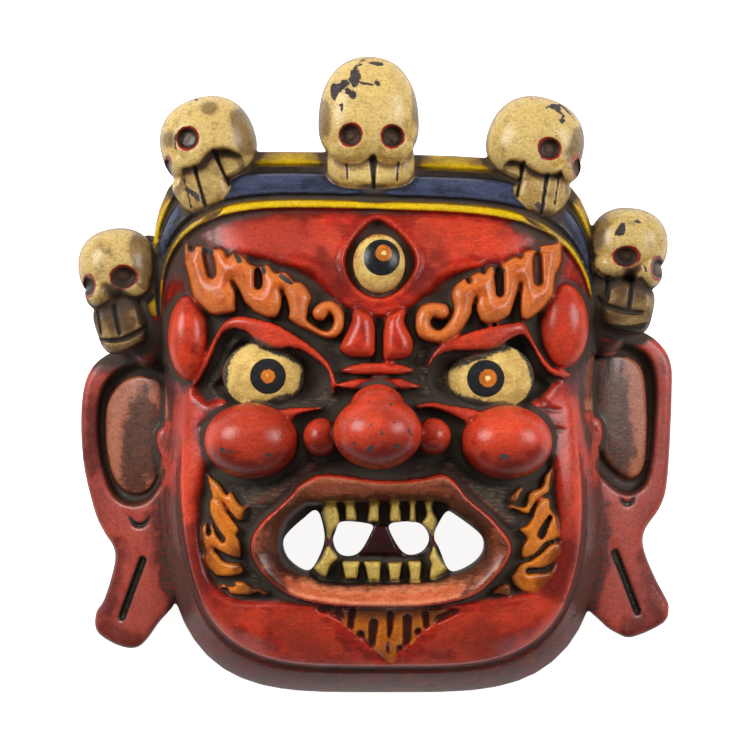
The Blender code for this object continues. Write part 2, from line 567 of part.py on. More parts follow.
def extruded_outline(name, points, low, high, collection):
    """A closed prism over a flat outline, made as a filled curve and turned into a mesh."""
    curve = bpy.data.curves.new(name, "CURVE")
    curve.dimensions = "2D"
    curve.fill_mode = "BOTH"
    curve.extrude = 0.5 * (high - low) * MM
    spline = curve.splines.new("POLY")
    spline.points.add(len(points) - 1)
    for place, point in zip(spline.points, points):
        place.co = (point[0] * MM, point[1] * MM, 0.0, 1.0)
    spline.use_cyclic_u = True
    guide = bpy.data.objects.new(name + "_outline", curve)
    collection.objects.link(guide)
    bpy.context.view_layer.update()
    evaluated = guide.evaluated_get(bpy.context.evaluated_depsgraph_get())
    mesh = bpy.data.meshes.new_from_object(evaluated)
    bpy.data.objects.remove(guide)
    bpy.data.curves.remove(curve)
    work = bmesh.new()
    work.from_mesh(mesh)
    bmesh.ops.remove_doubles(work, verts=work.verts, dist=0.00001)
    bmesh.ops.translate(work, verts=work.verts, vec=(0.0, 0.0, 0.5 * (low + high) * MM))
    bmesh.ops.recalc_face_normals(work, faces=work.faces)
    work.to_mesh(mesh)
    work.free()
    return object_from_mesh(name, mesh, collection)


def ball(name, centre, radii, collection, segments=48):
    """A smooth rounded boss, a sphere stretched to three radii."""
    work = bmesh.new()
    bmesh.ops.create_uvsphere(work, u_segments=segments, v_segments=segments // 2, radius=1.0)
    bmesh.ops.scale(work, verts=work.verts, vec=[radius * MM for radius in radii])
    bmesh.ops.translate(work, verts=work.verts, vec=[place * MM for place in centre])
    mesh = bpy.data.meshes.new(name)
    work.to_mesh(mesh)
    work.free()
    return object_from_mesh(name, mesh, collection)


# ---------------------------------------------------------------- the parts of the block

def head_outline(steps=96):
    """Points round the head, found by stretching each direction until the ratio is 1."""
    points = []
    for angle in np.linspace(0.0, 2.0 * math.pi, steps, endpoint=False):
        reach = np.linspace(100.0, 260.0, 1601)
        x, y = reach * math.cos(angle), reach * math.sin(angle) + MID_Y
        best = int(np.argmin(np.abs(head_ratio(x, y) - 1.0)))
        points.append((x[best], y[best]))
    return points


def make_head(collection):
    """The head block, with its front carved down to the face."""
    thickness = 60.0
    head = extruded_outline("head", head_outline(), -4.0, thickness, collection)
    remesh(head, GRAIN)
    points = read_points(head.data)
    x, y = points[:, 0], points[:, 1]
    height = carve_face(x, y)
    above = np.clip(points[:, 2] / thickness, 0.0, 1.0)
    points[:, 2] = np.where(points[:, 2] > 0.0, above * height, points[:, 2])
    reach = np.hypot(x, y - MID_Y)
    tuck = 1.0 - SIDE_TUCK * (1.0 - above) ** 2 * ease(0.8, 1.0, head_ratio(x, y)) / reach
    points[:, 0] = x * tuck
    points[:, 1] = (y - MID_Y) * tuck + MID_Y
    write_points(head.data, points)
    return head


def make_ear(name, outline, collection):
    """One ear plate, leaning back towards its outer edge."""
    ear = extruded_outline(name, smooth_line(outline, closed=True), 0.0, EAR_THICKNESS, collection)
    remesh(ear, GRAIN)
    points = read_points(ear.data)
    x, y = points[:, 0], points[:, 1]
    top = carve_ear(x, y)
    lean = EAR_EDGE + (EAR_ROOT - EAR_EDGE) * ease(0.0, 60.0, 205.0 - np.abs(x))
    edge = np.minimum(loop_depth(x, y, outline), 5.0) / 5.0
    top = top - 4.0 * (1.0 - quarter_round(edge, 1.0))
    bottom = lean - EAR_THICKNESS
    points[:, 2] = bottom + (top - bottom) * points[:, 2] / EAR_THICKNESS
    write_points(ear.data, points)
    return ear


def place_leaning(target, place, lean):
    """Turn a piece about Z by its lean and put it in its place."""
    move = Matrix.Translation(Vector(place) * MM)
    target.data.transform(move @ Matrix.Rotation(math.radians(lean), 4, "Z"))


def make_jaw(name, place, half_sizes, lean, collection):
    """A block with rounded edges and corners."""
    jaw = ball(name, (0, 0, 0), (1.0, 1.0, 1.0), collection)
    points = read_points(jaw.data)
    square = (np.abs(points) ** JAW_SQUARENESS).sum(axis=1) ** (1 / JAW_SQUARENESS)
    write_points(jaw.data, points / square[:, None] * np.array(half_sizes))
    place_leaning(jaw, place, lean)
    return jaw


def make_skull(name, skull, collection):
    """The pieces of one skull: an egg-shaped cranium and two cheeks over a jaw set back below."""
    (x, y, z), (width, rise, drop, deep) = skull["cranium"]
    cranium = ball(name, (0, 0, 0), (1.0, 1.0, 1.0), collection)
    points = read_points(cranium.data) * MM
    fuller = (np.abs(points) ** SKULL_FULLNESS).sum(axis=1) ** (1 / SKULL_FULLNESS)
    points = points / fuller[:, None]
    points[:, 0] *= width
    points[:, 1] *= np.where(points[:, 1] > 0, rise, drop)
    points[:, 2] *= np.where(points[:, 2] > 0, deep, SKULL_BACK * deep)
    write_points(cranium.data, points)
    place_leaning(cranium, (x, y, z), 0.5 * skull["lean"])
    pieces = [cranium]
    for across, up, cheek_width, cheek_rise in skull["cheeks"]:
        pieces.append(ball(name + "_cheek", (across, up, z + CHEEK_FRONT),
                           (cheek_width, cheek_rise, CHEEK_DEPTH), collection))
    (across, up), (jaw_width, jaw_rise) = skull["jaw"]
    pieces.append(make_jaw(name + "_jaw", (across, up, z), (jaw_width, jaw_rise, JAW_FRONT),
                           skull["lean"], collection))
    return pieces


def carve_skulls(target):
    """Sink the eye sockets and cut the grooves between the teeth."""
    points = read_points(target.data)
    x, y, z = points.T
    for skull in SKULLS.values():
        front = ease(0.0, 8.0, z - skull["cranium"][0][2])
        for across, up, width, rise in skull["sockets"]:
            away = np.hypot((x - across) / width, (y - up) / rise)
            points[:, 2] -= SKULL_SOCKET_DEPTH * (1.0 - ease(0.75, 1.1, away)) * front
        groove = ease(-0.6, 0.8, stroke_depth(x, y, skull["grooves"]))
        points[:, 2] -= JAW_GROOVE_DEPTH * groove * front
    write_points(target.data, points)


def hollow_height(x, y):
    """Height of the hollow's ceiling, which follows the plain face and dips behind the mouth."""
    behind_mouth = ease(-25.0, 5.0, loop_depth(x, y, LIPS_OUTER))
    return dome_height(x, y) - FACE_WALL - (MOUTH_DEPTH + MOUTH_WALL - FACE_WALL) * behind_mouth


def make_hollow(collection):
    """The hollow's form: the head's outline drawn in by the wall, rounded, and open below."""
    hollow = ball("hollow", (0, 0, 0), (1.0, 1.0, 1.0), collection, segments=36)
    points = read_points(hollow.data)
    across = np.hypot(points[:, 0], points[:, 1])
    angle = np.arctan2(points[:, 1], points[:, 0])
    outline = np.array(head_outline(360)) - np.array((0.0, MID_Y))
    reach = np.hypot(outline[:, 0], outline[:, 1])
    turn = np.unwrap(np.arctan2(outline[:, 1], outline[:, 0]))
    wall_line = np.interp(np.mod(angle - turn[0], 2 * math.pi), turn - turn[0], reach) - SIDE_WALL
    points[:, 0] = across * wall_line * np.cos(angle)
    points[:, 1] = across * wall_line * np.sin(angle) + MID_Y
    rounded = np.sqrt(np.maximum(1.0 - across ** 5, 0.0))
    ceiling = hollow_height(points[:, 0], points[:, 1]) * rounded
    points[:, 2] = np.where(points[:, 2] > 0.0, ceiling, -10.0)
    write_points(hollow.data, points)
    return hollow


def make_cutter(target):
    target.hide_render = True
    target.display_type = "WIRE"
    return target


def cut(target, cutter):
    """Take the cutter's form out of the target."""
    modifier = target.modifiers.new("Cut", "BOOLEAN")
    modifier.operation = "DIFFERENCE"
    modifier.solver = "EXACT"
    modifier.object = cutter
    settle(target)


def flatten_back(target):
    """Saw the block off along Z = 0, so that the mask lies on a flat rim."""
    work = bmesh.new()
    work.from_mesh(target.data)
    everything = work.verts[:] + work.edges[:] + work.faces[:]
    cut_edges = bmesh.ops.bisect_plane(work, geom=everything, plane_co=(0.0, 0.0, 0.0),
                                       plane_no=(0.0, 0.0, 1.0), clear_inner=True)["geom_cut"]
    rim = [item for item in cut_edges if isinstance(item, bmesh.types.BMEdge)]
    bmesh.ops.edgenet_fill(work, edges=rim)
    bmesh.ops.triangulate(work, faces=work.faces)
    bmesh.ops.recalc_face_normals(work, faces=work.faces)
    work.to_mesh(target.data)
    work.free()


def thin_out(target, triangles):
    """Keep only so many triangles, most of them where the carving is sharp."""
    work = bmesh.new()
    work.from_mesh(target.data)
    bmesh.ops.triangulate(work, faces=work.faces)
    work.to_mesh(target.data)
    work.free()
    modifier = target.modifiers.new("Thin", "DECIMATE")
    modifier.ratio = triangles / len(target.data.polygons)
    settle(target)


def centre_on_back(target, cutters):
    """Put the origin under the middle of the mask's box, and keep the cutters in register."""
    points = read_points(target.data)
    middle = 0.5 * (points.min(axis=0) + points.max(axis=0))
    middle[2] = 0.0
    write_points(target.data, points - middle)
    for cutter in cutters.objects:
        cutter.location = -Vector(middle) * MM


def lacquer():
    """Red lacquer over wood."""
    material = bpy.data.materials.new("painted_wood")
    material.use_nodes = True
    shader = material.node_tree.nodes["Principled BSDF"]
    shader.inputs["Base Color"].default_value = (0.42, 0.05, 0.035, 1.0)
    shader.inputs["Roughness"].default_value = 0.45
    shader.inputs["Metallic"].default_value = 0.0
    return material


def build_mask():
    parts = new_collection("bhairab_mask")
    cutters = new_collection("cutters")
    mask = make_head(parts)
    bosses = [ball(name, centre, radii, parts) for name, (centre, radii) in BOSSES.items()]
    ears = [make_ear("left_ear", LEFT_EAR, parts), make_ear("right_ear", RIGHT_EAR, parts)]
    skulls = [piece for name, skull in SKULLS.items() for piece in make_skull(name, skull, parts)]
    join(mask, bosses + ears + skulls)
    mask.name = NAME
    mask.data.name = NAME
    remesh(mask, GRAIN)
    carve_skulls(mask)
    thin_out(mask, TRIANGLES)
    flatten_back(mask)
    cut(mask, make_cutter(make_hollow(cutters)))
    for number, hole in enumerate(MOUTH_HOLES, start=1):
        line = smooth_line(hole, closed=True, steps=2)
        cut(mask, make_cutter(extruded_outline(f"mouth_hole_{number}", line, 30.0, 140.0, cutters)))
    centre_on_back(mask, cutters)
    mask.data.materials.clear()
    mask.data.materials.append(lacquer())
    return mask


for item in list(bpy.data.objects):
    bpy.data.objects.remove(item)

finished = build_mask()
finished.data.set_sharp_from_angle(angle=math.radians(50.0))
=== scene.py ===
# %% [markdown]
# # A carved and painted mask of a wrathful protector
#
# The real mask is one block of soft wood. Its carver hollowed it from behind, cut the face, the
# ears and the crown of five skulls out of the front, pierced the mouth and painted it. A dark
# wash was then rubbed into every hollow, and years of handling have worn and chipped the paint.
#
# The notebook works in that order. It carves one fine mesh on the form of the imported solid,
# marks where each paint lies, and mixes all the paints in one material. The mask lies on its
# back: X runs across the face, Y up to the crown and Z out of the face.

import math

import bmesh
import bpy
import numpy as np
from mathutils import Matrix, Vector


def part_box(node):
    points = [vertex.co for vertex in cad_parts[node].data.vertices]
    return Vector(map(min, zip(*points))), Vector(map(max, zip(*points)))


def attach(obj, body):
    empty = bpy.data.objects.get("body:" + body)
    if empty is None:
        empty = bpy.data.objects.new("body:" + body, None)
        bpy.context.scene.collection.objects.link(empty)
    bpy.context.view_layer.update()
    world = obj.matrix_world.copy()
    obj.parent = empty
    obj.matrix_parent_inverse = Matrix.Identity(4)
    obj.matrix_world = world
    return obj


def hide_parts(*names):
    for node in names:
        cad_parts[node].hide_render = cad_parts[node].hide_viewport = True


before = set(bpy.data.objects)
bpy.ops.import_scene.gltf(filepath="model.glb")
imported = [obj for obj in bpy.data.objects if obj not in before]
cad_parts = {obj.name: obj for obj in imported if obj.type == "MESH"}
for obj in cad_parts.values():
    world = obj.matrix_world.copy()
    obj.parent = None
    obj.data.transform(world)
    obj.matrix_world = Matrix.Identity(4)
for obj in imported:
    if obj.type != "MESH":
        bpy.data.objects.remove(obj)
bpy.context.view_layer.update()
mask_low, mask_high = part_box("mask")
print("the packed mask measures", [round(side, 4) for side in mask_high - mask_low], "m")

# %% [markdown]
# ## Camera, light and floor
#
# The mask is looked at squarely from the front, so the camera hangs over it and looks straight
# down. A long lens from two metres up keeps the ears and skulls from spreading. The light is
# what a small studio would use: a broad softbox low on each side, so that the lacquer shines
# along its edges, and a small one above. The table is milk glass, softly lit from below, which
# keeps the holes of the mouth and the ground around the mask pale.

# %% Camera
CAMERA_HEIGHT = 2.2
VIEW_WIDTH = 0.525
VIEW_MIDDLE = (-0.0011, 0.0021)
FILM_WIDTH = 36.0

bpy.ops.object.select_all(action="DESELECT")
bpy.ops.object.camera_add(location=(*VIEW_MIDDLE, CAMERA_HEIGHT), rotation=(0.0, 0.0, 0.0))
camera = bpy.context.object
camera.name = "front_view"
camera.data.sensor_width = FILM_WIDTH
camera.data.lens = FILM_WIDTH * CAMERA_HEIGHT / VIEW_WIDTH
bpy.context.scene.camera = camera
print("lens", round(camera.data.lens, 1), "mm")


# %% Softboxes and white surroundings
SOFTBOXES = {
    # name: place, side in metres, watts, shows as a gleam
    "left_softbox": ((-1.4, 0.7, 1.1), 0.9, 28.5, True),
    "right_softbox": ((1.45, 0.5, 1.1), 0.9, 21.5, True),
    "top_softbox": ((-0.15, 1.1, 1.7), 0.5, 10.5, False)}
LIT_PLACE = Vector((0.0, 0.0, 0.08))
SURROUNDINGS = 0.22
WHITE = (1.0, 1.0, 1.0, 1.0)


def softbox(name, place, side, watts, gleams):
    """A square area light that looks at the middle of the mask."""
    bpy.ops.object.select_all(action="DESELECT")
    bpy.ops.object.light_add(type="AREA", location=place)
    box = bpy.context.object
    box.name = name
    box.data.size = side
    box.data.energy = watts
    box.visible_glossy = gleams
    box.rotation_euler = (LIT_PLACE - box.location).to_track_quat("-Z", "Y").to_euler()


for name, settings in SOFTBOXES.items():
    softbox(name, *settings)

world = bpy.data.worlds.new("white_studio")
bpy.context.scene.world = world
world.use_nodes = True
background = world.node_tree.nodes["Background"].inputs
background["Color"].default_value = WHITE
background["Strength"].default_value = SURROUNDINGS
bpy.context.scene.view_settings.view_transform = "Standard"
print(len(SOFTBOXES), "softboxes in a room of strength", SURROUNDINGS)

# %% A table of milk glass
TABLE_SIDE = 6.0
TABLE_GAP = 0.0005
TABLE_GREY = (0.9, 0.9, 0.9, 1.0)
TABLE_ROUGHNESS = 0.9
GLOW_ON_MASK = 0.2
GLOW_SEEN = 0.9

bpy.ops.object.select_all(action="DESELECT")
bpy.ops.mesh.primitive_plane_add(size=TABLE_SIDE, location=(0.0, 0.0, -TABLE_GAP))
table = bpy.context.object
table.name = "white_table"
milk_glass = bpy.data.materials.new("milk_glass")
milk_glass.use_nodes = True
surface = milk_glass.node_tree.nodes["Principled BSDF"].inputs
surface["Base Color"].default_value = TABLE_GREY
surface["Roughness"].default_value = TABLE_ROUGHNESS
surface["Emission Color"].default_value = WHITE
seen_by_camera = milk_glass.node_tree.nodes.new("ShaderNodeLightPath").outputs["Is Camera Ray"]
glow = milk_glass.node_tree.nodes.new("ShaderNodeMapRange")
glow.inputs["To Min"].default_value = GLOW_ON_MASK
glow.inputs["To Max"].default_value = GLOW_SEEN
milk_glass.node_tree.links.new(seen_by_camera, glow.inputs["Value"])
milk_glass.node_tree.links.new(glow.outputs["Result"], surface["Emission Strength"])
table.data.materials.append(milk_glass)
print("the table is", round(table.dimensions.x, 1), "m wide")

# %% [markdown]
# ## Numbers the carver would know
#
# Lengths are millimetres in the mask's own drawing, where X = 0 is the line of the nose and
# Y = 0 passes through the eyes, because carved sizes read best that way. They become metres
# only when points go into a mesh. The first numbers draw the plain head: a block that is wide
# and square at the crown, round at the chin, and domed in front.

# %% Sizes of the plain head
MM = 0.001
HALF_WIDTH = 153.0
CROWN_RISE = 167.0
CHIN_DROP = 202.0
MID_Y = -17.0
CROWN_SQUARENESS = 5.5
CHIN_SQUARENESS = 3.85
CROWN_SLIP = 3.0
CROWN_LEAN = 0.028
CROWN_BLEND = 100.0
CHIN_SLIP = 3.0
CHIN_BLEND = 150.0
WAIST = 0.045
WAIST_LEVEL = -12.0
WAIST_REACH = 46.0
DOME = 110.0
DOME_POWER = 3
DOME_FLOOR = 0.05
FALL_SIDE = 0.93
FALL_CROWN = 0.87
FALL_CHIN = 0.955
OVER_EDGE = 1.03
TINY = 1e-6
print("the plain head is", 2.0 * HALF_WIDTH, "by", CROWN_RISE + CHIN_DROP, "mm")


# %% The dome of the plain head
def ease(low, high, value):
    """0 below low, 1 above high, and a smooth rise between them."""
    part = np.clip((value - low) / (high - low), 0.0, 1.0)
    return part * part * (3.0 - 2.0 * part)


def face_axes(x, y):
    """Coordinates about the middle of the head, with the crown's lean and the chin's slip."""
    crown = ease(0.0, CROWN_BLEND, y)
    chin = ease(0.0, CHIN_BLEND, -y)
    slimmer = 1.0 - WAIST * np.exp(-((y - WAIST_LEVEL) / WAIST_REACH) ** 2)
    across = (x + CROWN_SLIP * crown - CHIN_SLIP * chin) / slimmer
    return across, y - MID_Y + CROWN_LEAN * x * crown


def box_ratio(across, up, rise, power):
    """1 on a box with round corners, which the power makes squarer."""
    return (across ** power + np.abs(up / rise) ** power) ** (1 / power)


def head_ratio(x, y):
    """0 at the middle of the head and 1 on its outline."""
    across, up = face_axes(x, y)
    across = np.abs(across) / HALF_WIDTH
    crown = box_ratio(across, up, CROWN_RISE, CROWN_SQUARENESS)
    chin = box_ratio(across, up, CHIN_DROP, CHIN_SQUARENESS)
    return np.where(up > 0, crown, chin)


def dome_height(x, y):
    """Height of the plain head, before any carving."""
    across, up = face_axes(x, y)
    side = (across / HALF_WIDTH) ** 2
    tall = np.where(up > 0, up / CROWN_RISE, up / CHIN_DROP) ** 2
    fall = np.where(up > 0, FALL_CROWN, FALL_CHIN)
    share = tall / np.maximum(side + tall, TINY)
    fall = np.sqrt(FALL_SIDE ** 2 * (1 - share) + fall ** 2 * share)
    reach = np.minimum(head_ratio(x, y), OVER_EDGE) * fall
    return DOME * np.sqrt(np.maximum(1.0 - reach ** DOME_POWER, DOME_FLOOR))


brow_height = dome_height(np.zeros(1), np.zeros(1))
print("the dome is", np.round(brow_height, 1), "mm high between the eyes")

# %% [markdown]
# ## Gouge strokes and outlines
#
# A carver draws with the gouge, and so does this notebook. A stroke is a smooth path whose
# points give X, Y and the half-width there, and an outline is a smooth closed loop. For every
# point of the surface the two helpers say how far inside the stroke or the loop it lies, in
# millimetres. That one number is enough to raise a rounded shape, to sink a hollow and, later
# on, to lay paint right up to an edge, so nothing has to be drawn twice.

# %% Rounded shoulders
FAR_OUTSIDE = -50.0
NEARBY = 20.0
SHOULDER = 4.0


def quarter_round(depth, radius):
    """A rounded shoulder: steep at the edge, level once it is a radius deep."""
    part = np.clip(depth / radius, 0.0, 1.0)
    return np.sqrt(1.0 - (1.0 - part) ** 2)


sample = np.array([0.0, 1.0, 4.0])
print("a shoulder 4 mm wide rises to", np.round(quarter_round(sample, SHOULDER), 2))


# %% Smooth lines
def smooth_line(points, closed=False, steps=5):
    """Points along a curve that runs smoothly through the given points."""
    knots = np.array(points, dtype=float)
    if closed:
        knots = np.vstack([knots[-1:], knots, knots[:2]])
    else:
        knots = np.vstack([2 * knots[0] - knots[1], knots, 2 * knots[-1] - knots[-2]])
    line = []
    for a, b, c, d in zip(knots, knots[1:], knots[2:], knots[3:]):
        for t in np.arange(steps) / steps:
            line.append(0.5 * (2 * b + (c - a) * t + (2 * a - 5 * b + 4 * c - d) * t * t
                               + (3 * b - a - 3 * c + d) * t ** 3))
    if not closed:
        line.append(knots[-2])
    return np.array(line)


corners = [(0, 0), (9, 0), (9, 9), (0, 9)]
print("a loop through four corners gets", len(smooth_line(corners, closed=True)), "points")


# %% How deep a point lies inside a stroke
def segment_offsets(x, y, start, end):
    """Distance of every point to one segment, and how far along it the nearest place is."""
    along = end[:2] - start[:2]
    length = max(float(along @ along), TINY)
    part = np.clip(((x - start[0]) * along[0] + (y - start[1]) * along[1]) / length, 0.0, 1.0)
    gap = np.hypot(x - start[0] - part * along[0], y - start[1] - part * along[1])
    return gap, part


def near_line(x, y, line):
    """Which points lie in the box round a line, with some room."""
    low, high = line[:, :2].min(axis=0) - NEARBY, line[:, :2].max(axis=0) + NEARBY
    return (x > low[0]) & (x < high[0]) & (y > low[1]) & (y < high[1])


def stroke_depth(x, y, strokes):
    """How deep each point lies inside the strokes, where a lone point is a round dab."""
    depth = np.full(x.shape, FAR_OUTSIDE)
    for stroke in strokes:
        line = smooth_line(stroke * 2 if len(stroke) == 1 else stroke)
        near = near_line(x, y, line)
        best = np.full(near.sum(), FAR_OUTSIDE)
        for start, end in zip(line, line[1:]):
            gap, part = segment_offsets(x[near], y[near], start, end)
            best = np.maximum(best, start[2] + (end[2] - start[2]) * part - gap)
        depth[near] = np.maximum(depth[near], best)
    return depth


test_depth = stroke_depth(np.array([0.0, 10.0, 30.0]), np.zeros(3), [[(-50, 0, 6), (5, 0, 6)]])
print("depths across a 12 mm stroke:", test_depth)


# %% How deep a point lies inside an outline
def loop_depth(x, y, points):
    """How deep each point lies inside a closed smooth outline, and negative outside it."""
    line = smooth_line(points, closed=True)
    near = near_line(x, y, line)
    px, py = x[near], y[near]
    inside = np.zeros(px.shape, dtype=bool)
    gap = np.full(px.shape, -FAR_OUTSIDE)
    for start, end in zip(line, np.roll(line, -1, axis=0)):
        gap = np.minimum(gap, segment_offsets(px, py, start, end)[0])
        spans = (start[1] > py) != (end[1] > py)
        rise = end[1] - start[1]
        if abs(rise) > TINY:
            inside ^= spans & (px < start[0] + (py - start[1]) * (end[0] - start[0]) / rise)
    depth = np.full(x.shape, FAR_OUTSIDE)
    depth[near] = np.where(inside, gap, -gap)
    return depth


def raise_to(height, level, depth, edge, shoulder=SHOULDER):
    """Lift the surface to a level wherever a shape covers it, with rounded shoulders."""
    lifted = level - shoulder + shoulder * quarter_round(depth, edge)
    return np.where(depth > 0, np.maximum(height, lifted), height)


print("heights across a raised stroke:", raise_to(np.zeros(3), 5.0, test_depth, SHOULDER))

# %% [markdown]
# ## The head band
#
# A band crosses the forehead under the crown of skulls: a broad blue strip between two raised
# yellow edges. It could be a separate strip bent over the brow, but on the real mask it is
# carved from the same wood, so it is worked out as a second, smaller outline inside the head's
# own. The share of the way from that inner outline to the head's edge tells where the two
# grooves run, and it will tell the paint where yellow turns to blue.

# %% Carve the head band
BAND_HALF_WIDTH = 150.0
BAND_RISE = 128.0
BAND_SQUARENESS = 4.1
BAND_PROUD = 6.5
BAND_GROOVES = ((0.225, 0.07), (0.74, 0.075))
BAND_GROOVE_DEPTH = 5.5
BAND_ENDS = 35.0
BAND_FADE = 25.0
BAND_STEP = (0.985, 1.005)
GROOVE_FLOOR = 0.5
GROOVE_MOUTH = 1.4


def band_ratio(x, y):
    """1 on the lower edge of the head band."""
    across, up = face_axes(x, y)
    return box_ratio(np.abs(across / BAND_HALF_WIDTH), np.maximum(up, 0.0), BAND_RISE, BAND_SQUARENESS)


def band_share(x, y):
    """0 below the band, and from there 0 on its lower edge to 1 on the edge of the head."""
    inner, outer = band_ratio(x, y), head_ratio(x, y)
    share = np.clip((inner - 1.0) / np.maximum(inner - outer, TINY), 0.0, 1.0)
    return np.where(inner < 1.0, 0.0, share)


def carve_band(x, y, height):
    """The head band, proud of the forehead, with two grooves along it."""
    inner, share = band_ratio(x, y), band_share(x, y)
    sides = ease(BAND_ENDS, BAND_ENDS + BAND_FADE, y)
    height = height + BAND_PROUD * ease(*BAND_STEP, inner) * sides
    for middle, half in BAND_GROOVES:
        groove = 1.0 - ease(GROOVE_FLOOR * half, GROOVE_MOUTH * half, np.abs(share - middle))
        height = height - BAND_GROOVE_DEPTH * groove * sides * (inner > 1.0)
    return height


print("the band is about", round(CROWN_RISE - BAND_RISE), "mm wide over the forehead")

# %% [markdown]
# ## The mouth
#
# The mouth is the deepest carving: lips that slope inwards, a floor a finger's width down, two
# rows of teeth with a pair of fangs in each, a tongue, and holes sawn right through so that a
# dancer could breathe. A modeller could cut all this with Booleans. Working it as heights is
# closer to the gouge, because every wall keeps a little slope, so only the holes are sawn.

# %% Lips, holes, teeth and tongue
LIPS_OUTER = [
    (0, -71), (27, -70), (42, -67), (50, -72), (59, -83), (75, -97), (87, -113), (85, -124),
    (76, -136), (61, -148), (27, -155), (0, -156), (-29, -154), (-55, -149), (-71, -139),
    (-82, -126), (-85, -114), (-79, -101), (-59, -82), (-51, -73), (-35, -67)]
LIPS_INNER = [
    (-43, -86), (0, -85), (40, -85), (49, -91), (61, -100), (70, -111), (70, -121), (62, -130),
    (49, -135), (34, -140), (-5, -142), (-35, -141), (-49, -135), (-62, -129), (-68, -117),
    (-64, -101), (-52, -89)]
MOUTH_HOLES = [
    [(-43, -91), (-39, -97), (-37, -113), (-45, -131), (-52, -132), (-62, -124), (-65, -113),
     (-60, -105), (-51, -97)],
    [(-25, -99), (-5, -101), (-5, -106), (-14, -121), (-26, -122), (-31, -113), (-29, -105)],
    [(9, -100), (27, -100), (34, -110), (29, -120), (17, -121), (7, -105)],
    [(46, -92), (51, -94), (68, -107), (71, -117), (66, -126), (54, -133), (47, -132),
     (41, -118), (37, -109), (41, -99)]]
TEETH = [
    # left, right and height of the upper edge, then of the lower edge
    (-23.5, -16, -84.5, -22.5, -14.5, -98.5), (-7, 0.5, -85, -8, 0.5, -99.5),
    (7, 14, -84.5, 7, 15.5, -99.5), (20, 25, -84.5, 20, 25, -99.5),
    (-25.5, -12.5, -125.5, -23, -14.5, -138.5), (-10.5, 1.5, -125.5, -7.5, 1, -139.5),
    (5.5, 16, -126, 7, 14, -139.5), (19.5, 29, -125.5, 20.5, 28, -140)]
FANGS = [
    [(-39, -91.5), (-36, -86), (-29, -85), (-26, -99), (-30.5, -104.5), (-33, -109.5),
     (-34.5, -109.5), (-36.5, -101)],
    [(30.5, -86), (36, -85), (37, -92), (39.5, -97.5), (37.5, -105.5), (36.5, -108),
     (34.5, -107), (31.5, -103), (28.5, -99.5), (31.5, -94.5)],
    [(-36, -116.5), (-33, -116.5), (-27.5, -123.5), (-32.5, -128.5), (-35.5, -136.5),
     (-39, -136.5), (-44.5, -130.5), (-41, -126), (-38, -121)],
    [(36.5, -116.5), (38, -116.5), (41, -122.5), (46.5, -130.5), (43.5, -134.5), (39, -137.5),
     (34, -137.5), (34, -132), (35, -127.5), (33.5, -123)]]
FANG_LINKS = [[(-33.5, -107, 1.8), (-34, -119, 1.8)], [(36, -106, 1.4), (37, -118, 1.4)]]
TONGUE = (-5, 7, -99, -15, 17, -123)
print("the mouth has", len(TEETH) + len(FANGS), "teeth and", len(MOUTH_HOLES), "holes")

# %% Carve the mouth
LIP_PROUD = 6.0
LIP_EDGE = 1.0
LIP_ROUND = 3.0
LIP_SLOPE = 17.0
LIP_POWER = 1.4
MOUTH_DEPTH = 27.0
MOUTH_WALL_WIDTH = 4.0
TONGUE_HEIGHT = 4.0
TOOTH_HEIGHT = 12.0
TOOTH_ROUND = 2.5
LINK_SHARE = 0.6
LINK_ROUND = 1.5


def slab_depth(x, y, slab):
    """How deep each point lies inside a slab whose sides slope evenly from top to foot."""
    left, right, top, left_foot, right_foot, foot = slab
    down = (top - y) / (top - foot)
    from_left = x - left - (left_foot - left) * down
    from_right = right + (right_foot - right) * down - x
    return np.min([from_left, from_right, top - y, y - foot], axis=0)


def teeth_depth(x, y):
    """How deep each point lies inside the nearest tooth or fang."""
    teeth = [slab_depth(x, y, tooth) for tooth in TEETH]
    return np.max(teeth + [loop_depth(x, y, fang) for fang in FANGS], axis=0)


def carve_mouth(x, y, dome, height):
    """Lips that slope inwards, the floor of the mouth, the tongue and the teeth."""
    outer, inner = loop_depth(x, y, LIPS_OUTER), loop_depth(x, y, LIPS_INNER)
    down = np.clip(outer / np.maximum(outer - inner, TINY), 0.0, 1.0)
    lip = dome + LIP_PROUD * quarter_round(outer + LIP_EDGE, LIP_ROUND) - LIP_SLOPE * down ** LIP_POWER
    height = np.where(outer > -LIP_EDGE, lip, height)
    floor = dome - MOUTH_DEPTH
    sunk = ease(-LIP_EDGE, MOUTH_WALL_WIDTH, inner)
    height = height * (1 - sunk) + floor * sunk
    tongue = ease(0.0, TONGUE_HEIGHT, slab_depth(x, y, TONGUE))
    height = np.maximum(height, floor + TONGUE_HEIGHT * tongue)
    links = stroke_depth(x, y, FANG_LINKS)
    height = raise_to(height, floor + LINK_SHARE * TOOTH_HEIGHT, links, LINK_ROUND)
    bite = teeth_depth(x, y)
    crest = floor + TOOTH_HEIGHT * quarter_round(bite, TOOTH_ROUND)
    return np.where(bite > 0, np.maximum(height, crest), height)


print("teeth rise", TOOTH_HEIGHT, "mm from a floor", MOUTH_DEPTH, "mm down")

# %% [markdown]
# ## The eyes
#
# Each eye sits in a sunken socket under one heavy lid, and a third eye stands upright on the
# forehead inside a raised ring. The sockets and the ring are sunk and raised here; the balls of
# the eyes are added as rounded bosses further on.

